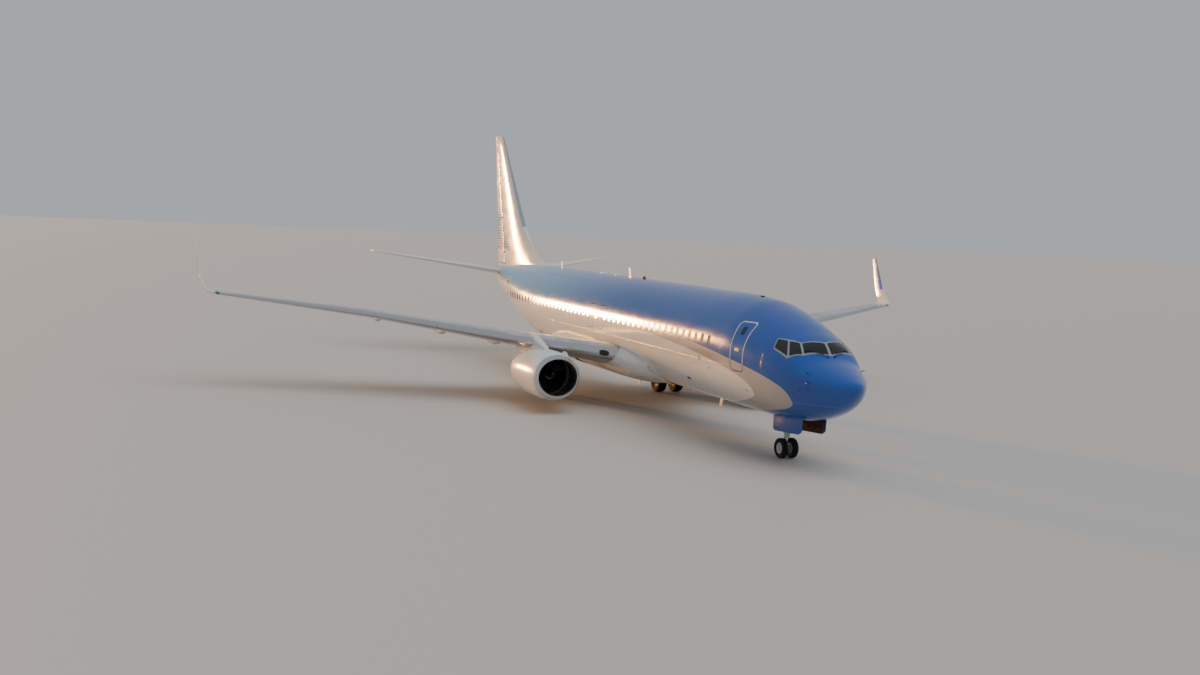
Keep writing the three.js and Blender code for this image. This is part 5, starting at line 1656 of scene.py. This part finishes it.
def wheelSet(name, leg, side, body, nodes, tyreNodes):
    x, y, offset = side * leg["x"], yAt(leg["station"]), leg["offset"]
    axle = [(0, 0), (0, leg["axle"]), (2 * offset, leg["axle"]), (2 * offset, 0)]
    addPiece(f"{name}_axle", lathed(axle, (x - offset, y, leg["tyre"]), 40, (1, 0, 0)), [chrome], body,
             "bare_metal", nodes)
    for place, out in (("inner", -side or -1), ("outer", side or 1)):
        centre = (x + out * offset, y, leg["tyre"])
        wheel = objectOf(f"{name}_hub_{place}", hub(leg, centre, out), [wheelPaint])
        carve(wheel, objectOf("cut", hubHoles(leg, centre, out), [wheelPaint]))
        finished(wheel, body, "bare_metal", nodes)
        addPiece(f"{name}_bolts_{place}", hubBolts(leg, centre, out), [titanium], body, "bare_metal")
        addPiece(f"{name}_tyre_{place}", tyre(leg, centre), [blackRubber], body, "tyre_rubber",
                 [tyreNodes[place]])


def brake(leg, side):
    # heat pack and piston housing between the leg and each wheel
    bm = bmesh.new()
    for out in (-1, 1):
        centre = (side * leg["x"] + out * 0.145, yAt(leg["station"]), leg["tyre"])
        turned(bm, [(0, 0.1), (0, 0.2), (out * 0.035, 0.215), (out * 0.05, 0.19), (out * 0.115, 0.19),
                    (out * 0.115, 0.1)], centre, 64, (1, 0, 0), closed=True)
        circled(bm, centre, -out * 0.004, 0.155, 7, 0.5, 0.026, 0.03, 20, 0.03)
    return bm


def scissor(bm, x, station, high, low, reach, half):
    # two torque arms that meet at a knee behind the leg
    knee, back = (high + low) / 2, station + reach - 0.03
    for end in (high, low):
        toKnee = math.copysign(1, knee - end)
        tip = station + reach
        outline = [(station, end), (tip, knee - toKnee * 0.055), (tip, knee - toKnee * 0.006),
                   (tip - 0.08, knee - toKnee * 0.006), (station, end + toKnee * 0.09)]
        for sign in (-1, 1):
            inner, outer = sorted((x + sign * half * 0.62, x + sign * half))
            plateX(bm, outline, inner, outer, 0.003)
        plateX(bm, [(station + 0.05, end + toKnee * 0.035), (back, knee - toKnee * 0.045),
                    (back, knee - toKnee * 0.02), (station + 0.05, end + toKnee * 0.06)],
               x - half * 0.6, x + half * 0.6, 0.003)
    rod(bm, (x - half * 1.15, back, knee), (x + half * 1.15, back, knee), 0.02)


def mainCylinder():
    bm = bmesh.new()
    x, s = gear["main"]["x"], gear["main"]["station"]
    turned(bm, mainLeg["cylinder"], (x, yAt(s), mainLeg["foot"]), 64, (0, 0, 1))
    for start, end, radius in mainLeg["struts"]:
        rod(bm, start, end, radius)
    arms = mainLeg["doorArms"]
    for height in arms["heights"]:
        slab(bm, (x, s - arms["halfWidth"], height - arms["half"]),
             (arms["end"], s + arms["halfWidth"], height + arms["half"]))
    return bm


def mainFoot():
    bm = bmesh.new()
    x, s, z = gear["main"]["x"], gear["main"]["station"], gear["main"]["tyre"]
    sleeve = mainLeg["sleeve"]
    turned(bm, sleeve, (x - sleeve[-1][0] / 2, yAt(s), z), 56, (1, 0, 0), closed=True)
    rod(bm, (x, s, z + 0.09), (x, s, 0.8), 0.1, 0.088)
    scissor(bm, x, s + 0.06, 1.42, 0.64, 0.33, 0.045)
    return bm


def legPiston(leg, piston, segments):
    x, s = leg["x"], leg["station"]
    return built(lambda bm: rod(bm, (x, s, piston["foot"]), (x, s, piston["top"]), piston["radius"],
                                segments=segments))


def strutDoor():
    return built(lambda bm: slab(bm, *mainLeg["door"], 0.012))


def mainHoses():
    bm = bmesh.new()
    x, s = gear["main"]["x"], gear["main"]["station"]
    for out in (-1, 1):
        points = [(x + out * off, s + behind, height) for off, behind, height in mainLeg["hose"]]
        hose(bm, points, mainLeg["hoseRadius"])
    for height in mainLeg["clamps"]:
        slab(bm, (x - 0.075, s - 0.165, height - 0.012), (x + 0.075, s - 0.1, height + 0.012), 0.003)
    return bm


addPair("main_leg_cylinder", mainCylinder, [gearPaint], "bare_metal", ["main_leg_{}"])
addPair("main_leg_piston", lambda: legPiston(gear["main"], mainLeg["piston"], 48), [chrome], "bare_metal",
        ["main_leg_{}"])
addPair("main_leg_foot", mainFoot, [gearPaint], "bare_metal", ["main_leg_{}"])
addPair("main_strut_door", strutDoor, [whitePaint], "white_paint", ["main_leg_{}"])
addPair("main_hydraulic_hoses", mainHoses, [sealant], "tyre_rubber")
for sideName, side in sides.items():
    addPiece(f"main_brakes_{sideName}", brake(gear["main"], side), [hotMetal], "root", "engine_metal")
    body = f"main_wheels_{sideName}"
    wheelSet(body, gear["main"], side, body, [body],
             {place: f"tyre_main_{sideName}_{place}" for place in ("inner", "outer")})

noseLegBm = bmesh.new()
s = gear["nose"]["station"]
turned(noseLegBm, noseLeg["cylinder"], (0, yAt(s), noseLeg["foot"]), 56, (0, 0, 1))
for start, end, radius in noseLeg["struts"]:
    rod(noseLegBm, start, end, radius)
addPiece("nose_leg_cylinder", noseLegBm, [gearPaint], "root", "white_paint", ["nose_leg"])
reflector = [(0, 0), (0, 0.04), (-0.03, 0.066), (-0.085, 0.074), (-0.088, 0.066), (-0.075, 0.06),
             (-0.04, 0.035), (-0.035, 0)]
addPiece("taxi_light_reflector", lathed(reflector, (0, yAt(3.94), 1.15)), [chrome], "root", "bare_metal")
lens = [(0, 0), (0, 0.064), (-0.004, 0.064), (-0.012, 0.045), (-0.016, 0.02), (-0.017, 0)]
addPiece("taxi_light_lens", lathed(lens, (0, yAt(3.863), 1.15)), [lampGlass], "root", "glazing")

steerBm = bmesh.new()
turned(steerBm, noseLeg["collar"], (0, yAt(s), noseLeg["collarFoot"]), 56, (0, 0, 1))
turned(steerBm, noseLeg["sleeve"], (-noseLeg["sleeve"][-1][0] / 2, yAt(s), gear["nose"]["tyre"]), 48, (1, 0, 0),
       closed=True)
rod(steerBm, (0, s, 0.40), (0, s, 0.52), 0.062, 0.056)
scissor(steerBm, 0, s + 0.03, 0.76, 0.37, 0.21, 0.03)
slab(steerBm, (-0.035, 3.88, 0.46), (0.035, s, 0.53), 0.008)
addPiece("nose_steering_collar", steerBm, [gearPaint], "nose_steering", "bare_metal", ["nose_steering"])
addPiece("nose_leg_piston", legPiston(gear["nose"], noseLeg["piston"], 40), [chrome], "nose_steering",
         "bare_metal", ["nose_steering"])
wheelSet("nose_wheels", gear["nose"], 0, "nose_wheels", ["nose_wheels"],
         {"inner": "tyre_nose_right", "outer": "tyre_nose_left"})

noseDoor = {
    "outline": [(2.34, 1.66), (4.18, 1.62), (4.18, 1.01), (4.06, 0.95), (2.56, 1.06), (2.38, 1.17)],
    "from": 0.43, "to": 0.47,
}


def noseDoorSkin():
    bm = bmesh.new()
    plateX(bm, noseDoor["outline"], noseDoor["from"], noseDoor["to"], 0.008)
    return paintFaces(bm, 1, lambda p: p.x < noseDoor["from"] + 0.004)


def noseDoorRibs():
    bm = bmesh.new()
    for station in (2.62, 3.0, 3.38, 3.76, 4.08):
        slab(bm, (0.405, station - 0.012, 1.1), (0.431, station + 0.012, 1.5), 0.004)
    slab(bm, (0.405, 2.55, 1.24), (0.431, 4.12, 1.265), 0.004)
    return bm


addPair("nose_door_skin", noseDoorSkin, [paint, primer], "blue_paint", ["nose_gear_door_{}"])
addPair("nose_door_ribs", noseDoorRibs, [primer], "blue_paint")

print("small parts")


def bladeAntenna(bm, station, chord, tall, sweep, crown):
    # swept antenna on the middle line, above the crown or below the keel, on an oval foot
    row = bodyAt(station)
    root = row[0] - 0.02 if crown else row[1] + 0.02
    away = 1 if crown else -1
    rings = []
    for share in (0, 0.05, 0.35, 0.65, 0.88, 0.96, 1.0):
        narrow = 1 - 0.45 * share - (0.12 if share == 1 else 0)
        lead = station - chord / 2 + sweep * share
        height = root + away * (tall + 0.02) * share
        rings.append(standingFoil(lead, lead + chord * narrow, 0.022 * narrow, height))
    loft(bm, rings)
    base = root + away * 0.016
    oval = [(0.05 * math.sin(a), yAt(station) + chord * 0.625 * math.cos(a)) for a in around(32)]
    heights = (base - away * 0.02, base + away * 0.008)
    loft(bm, [[Vector((x, y, height)) for x, y in oval] for height in heights])


antennas = [
    # station, chord, height, sweep, whether it stands on the crown
    (17.9, 0.3, 0.38, 0.2, True), (26.6, 0.16, 0.28, 0.1, True), (8.75, 0.28, 0.36, 0.2, False),
    (11.2, 0.1, 0.17, 0.08, False), (25.6, 0.1, 0.17, 0.08, False),
]
antennaBm = bmesh.new()
for row in antennas:
    bladeAntenna(antennaBm, *row)
addPiece("blade_antennas", antennaBm, [whitePaint], "root", "white_paint")

bellyRings = []
for t in (0, 0.3, 0.7, 0.92, 1.0):
    lead = 16.2 + 0.16 * t
    bellyRings.append(standingFoil(lead, lead + 0.28 * (1 - 0.45 * t), 0.024, 1.17 - 0.38 * t))
addPiece("belly_antenna", lofted(bellyRings), [whitePaint], "root", "white_paint")


def dome(bm, centre, radius, tall, stretch=1.0, away=1):
    # low dome with a rim, longer along the aircraft by the stretch; away is 1 up and -1 down
    outline = [(-0.03, 0), (-0.03, radius * 1.12), (0.004, radius * 1.12), (0.008, radius * 1.02)]
    outline += [(0.008 + tall * math.sin(a), radius * math.cos(a)) for a in around(32)[:8]]
    outline.append((0.008 + tall, 0))
    part = lathed([(away * a, r) for a, r in outline], (0, 0, 0), 40, (0, 0, 1))
    bmesh.ops.scale(part, verts=part.verts, vec=(1, stretch, 1))
    bmesh.ops.translate(part, verts=part.verts, vec=(centre[0], yAt(centre[1]), centre[2]))
    merged(bm, part)


addPiece("satcom_blisters", built(lambda bm: dome(bm, (0, 19.3, 5.4), 0.13, 0.05, 2.2),
                                  lambda bm: dome(bm, (0, 21.0, 5.4), 0.13, 0.05, 2.2)),
         [whitePaint], "root", "white_paint")
addPiece("crown_lamp_cover", built(lambda bm: dome(bm, (0, 6.2, bodyAt(6.2)[0]), 0.07, 0.02, 1.6)), [sealant],
         "root", "tyre_rubber")
addPiece("crown_beacon", built(lambda bm: dome(bm, (0, 16.4, 5.4), 0.075, 0.1)), [redLens], "root", "glazing")
addPiece("belly_beacon", built(lambda bm: dome(bm, (0, 17.3, 1.15), 0.075, 0.09, away=-1)), [redLens], "root",
         "glazing")


def asPlace(vector):
    return (vector.x, vector.y - noseY, vector.z)


def skinRod(bm, station, height, side, lifts, radius, endRadius=None, segments=32):
    # round bar that stands on the skin between two lifts above it
    foot, tip = (asPlace(skinPoint(station, height, side, lift)) for lift in lifts)
    rod(bm, foot, tip, radius, endRadius, segments)


def pitotProbe(bm, station, height, side):
    # strut that stands off the skin with a forward-pointing tube
    foot, out = skinPoint(station, height, side, -0.01), skinPoint(station - 0.03, height, side, 0.07)
    rod(bm, asPlace(foot), asPlace(out), 0.02, 0.012, 20)
    rod(bm, asPlace(out + Vector((0, 0.03, 0))), asPlace(out + Vector((0, -0.11, 0))), 0.012, 0.007, 20)


def vane(bm, station, height, side):
    # turning disc in the skin with a small swept vane
    skinRod(bm, station, height, side, (-0.004, 0.006), 0.035, 0.033)
    skinRod(bm, station, height, side, (0.006, 0.02), 0.012, 0.01, 16)
    boss = skinPoint(station, height, side, 0.02)
    rod(bm, asPlace(boss), asPlace(boss + Vector((0, 0.1, -0.01))), 0.008, 0.004, 12)


probeBm = bmesh.new()
for side in sides.values():
    back = 0.35 if side > 0 else 0.0
    pitotProbe(probeBm, 1.36 + back, 3.25, side)
    pitotProbe(probeBm, 1.23 + back, 2.955, side)
    vane(probeBm, 1.75, 2.55, side)
    for station, height in ((1.19, 2.765), (1.5, 2.7), (4.2, 2.3), (4.32, 2.3)):
        skinRod(probeBm, station, height, side, (-0.004, 0.003), 0.045 if station < 2 else 0.03)
addPiece("air_data_probes", probeBm, [titanium], "root", "bare_metal")

servicePorts = [
    # side, station, height, length, tall
    (-1, 7.25, 3.06, 0.09, 0.22), (-1, 7.98, 2.79, 0.07, 0.07), (-1, 7.55, 2.86, 0.05, 0.05),
    (-1, 6.6, 2.77, 0.09, 0.09), (1, 28.3, 2.95, 0.34, 0.3), (1, 3.4, 2.2, 0.4, 0.3),
    (-1, 22.9, 2.1, 0.3, 0.22),
]
portBm = bmesh.new()
for side, station, height, length, tall in servicePorts:
    radius = min(length, tall) * 0.3
    merged(portBm, panel(station, height - tall / 2, length, tall, radius, side, 0.0025, 0.008))
addPiece("service_ports", portBm, [framePaint], "root", "grey_paint")

wiper = {
    # (distance from the middle, station) points of the arm and of the blade
    "pivot": (0.12, 1.6),
    "arm": [(0.12, 1.6), (0.3, 1.68), (0.5, 1.735)],
    "blade": [(0.22, 1.70), (0.4, 1.755), (0.62, 1.84), (0.78, 1.91)],
}


def wiperPath(points, side, lift):
    return [asPlace(onCrown(side * x, station, lift)) for x, station in points]


wiperBm = bmesh.new()
for side in sides.values():
    foot, top = (wiperPath([wiper["pivot"]], side, lift)[0] for lift in (0.0, 0.05))
    rod(wiperBm, foot, top, 0.022, 0.018, 24)
    hose(wiperBm, wiperPath(wiper["arm"], side, 0.045), 0.008)
    hose(wiperBm, wiperPath(wiper["blade"], side, 0.02), 0.009)
addPiece("windscreen_wipers", wiperBm, [sealant], "root", "tyre_rubber")

doorParts = {
    "window": dict(width=0.2, height=0.28, radius=0.08, above=1.22),
    # the grip's points: distance along the door, distance off the skin
    "handle": dict(width=0.26, height=0.1, radius=0.03, above=0.72,
                   grip=[(-0.09, -0.002), (-0.085, 0.009), (0.0, 0.011), (0.085, 0.009), (0.09, -0.002)]),
}
for node, (side, station, sill, width, height) in fixedDoors.items():
    bm = bmesh.new()
    isCabin = height > 1
    handle = doorParts["handle"]
    above = handle["above"] if isCabin else height / 2 - 0.05
    plate = bmesh.new()
    roundRect(plate, station, sill + above, handle["width"], handle["height"], handle["radius"])
    wrapped(plate, side, 0.002)
    thickened(plate, (-side * 0.006, 0, 0))
    merged(bm, plate)
    hose(bm, [asPlace(skinPoint(station + s, sill + above, side, lift)) for s, lift in handle["grip"]], 0.007)
    addPiece(f"{node}_handle", bm, [titanium], "root", "bare_metal")
    if isCabin:
        window = doorParts["window"]
        bm = panel(station, sill + window["above"], window["width"], window["height"], window["radius"], side,
                   0.0015, 0.01)
        addPiece(f"{node}_window", bm, [cabinGlass], "root", "glazing")


lenses = {
    # span, reach ahead of the leading edge, extra thickness, share of the chord at the ends, what is
    # added to it in the middle and the power of that bulge
    "tip": ((16.96, 17.1), 0.012, 0.022, 0.11, 0.05, 1.0),
    "landing": ((2.24, 2.6), 0.005, 0.012, 0.0006, 0.0075, 0.6),
}


def edgeLens(name):
    # clear lens faired into the wing's leading edge
    (start, end), ahead, thicker, share, bulge, power = lenses[name]
    rings = []
    for x in between(start, end, 0.02):
        row = list(wingRow(x))
        row[1] -= ahead
        row[5] += thicker
        middle = max(0.0, math.sin(math.pi * (x - start) / (end - start)))
        rings.append(foilRing(row, back=share + bulge * middle ** power, count=25))
    return lofted(rings)


for sideName, side in sides.items():
    glass = redLens if side > 0 else greenLens
    addPiece(f"tip_light_{sideName}", sided(edgeLens("tip"), side), [glass], "root", "glazing")
addPair("landing_light_lens", lambda: edgeLens("landing"), [cabinGlass], "glazing")


def staticWicks():
    bm = bmesh.new()
    for x in (13.1, 13.9, 14.7, 15.4, 16.2, 16.7):
        rear, height, drop = wingAt(x)[1:4]
        rod(bm, (x, rear - 0.03, height - drop), (x, rear + 0.16, height - drop - 0.015), 0.005, 0.003, 10)
    for x in (4.2, 5.4, 6.5):
        rear, height = stabiliserAt(x)[1:3]
        rod(bm, (x, rear - 0.02, height), (x, min(rear + 0.15, 39.46), height - 0.01), 0.005, 0.003, 10)
    return bm


addPair("static_wicks", staticWicks, [sealant], "tyre_rubber")

tailStation = fuselage["profile"][-1][0]
tailCrown, tailKeel = bodyAt(tailStation)[:2]
apuPlace = (0, yAt(tailStation), (tailCrown + tailKeel) / 2)
apuBm = bmesh.new()
turned(apuBm, [(-0.2, 0.13), (0.004, 0.135), (0.006, 0.15), (-0.02, 0.155), (-0.2, 0.15)], apuPlace, 56,
       closed=True)
turned(apuBm, [(-0.19, 0), (-0.19, 0.135), (-0.18, 0.135), (-0.18, 0)], apuPlace, 40)
addPiece("apu_exhaust", apuBm, [hotMetal], "root", "engine_metal")
addPiece("tail_light", built(lambda bm: dome(bm, (0, 37.75, tailCrown + 0.01), 0.03, 0.03)), [lampGlass],
         "root", "glazing")

# Floor, light and camera
studio = {
    "floor": 600.0,
    "floorColour": "#b9b7b2",
    "worldColour": "#c4c8ce",
    "worldStrength": 0.8,
}
bm = bmesh.new()
bmesh.ops.create_grid(bm, x_segments=4, y_segments=4, size=studio["floor"])
floorMaterial = plainFinish("pale_floor", studio["floorColour"], 0.7, grain=3.0, bump=0.0, vary=0.03)
floor = objectOf("floor", bm, [floorMaterial])

world = bpy.data.worlds.new("studio")
world.use_nodes = True
background = world.node_tree.nodes["Background"]
background.inputs["Color"].default_value = linear(studio["worldColour"])
background.inputs["Strength"].default_value = studio["worldStrength"]
scene.world = world

lamps = {
    # name: direction from the middle (clockwise from the tail seen from above), height angle, spread,
    # power, colour
    "key": (-22, 3.3, 4.5, 5.4, "#ffb463"),
    "top": (150, 62, 60, 1.6, "#f6f8ff"),
}


def pointing(bearing, rise):
    # unit vector along a bearing, in radians, at a height angle
    return Vector((math.sin(bearing) * math.cos(rise), math.cos(bearing) * math.cos(rise), math.sin(rise)))


for name, (bearing, rise, spread, power, colour) in lamps.items():
    data = bpy.data.lights.new(name, "SUN")
    data.energy, data.angle = power, math.radians(spread)
    data.color = linear(colour)[:3]
    lamp = bpy.data.objects.new(name, data)
    toLamp = pointing(math.radians(bearing), math.radians(rise))
    lamp.location = toLamp * 60
    lamp.rotation_euler = toLamp.to_track_quat("Z", "Y").to_euler()
    lamp.visible_glossy = name == "key"
    scene.collection.objects.link(lamp)

# The photographer's place, level and lens, worked out from the photo
view = dict(place=(-21.486, -51.083, 7.583), yaw=22.265, pitch=-5.250, roll=2.498, focal=1216.9, width=1200,
            sensor=36, farthest=2000)
yaw, pitch, roll = (math.radians(view[key]) for key in ("yaw", "pitch", "roll"))
ahead = pointing(yaw, pitch)
level = ahead.cross(Vector((0, 0, 1))).normalized()
plumb = level.cross(ahead)
right = level * math.cos(roll) + plumb * math.sin(roll)
up = plumb * math.cos(roll) - level * math.sin(roll)
cameraData = bpy.data.cameras.new("camera")
cameraData.sensor_width = view["sensor"]
cameraData.lens = view["sensor"] * view["focal"] / view["width"]
cameraData.clip_end = view["farthest"]
camera = bpy.data.objects.new("camera", cameraData)
turn = Matrix((right, up, -ahead)).transposed().to_4x4()
camera.matrix_world = Matrix.Translation(Vector(view["place"])) @ turn
scene.collection.objects.link(camera)
scene.camera = camera
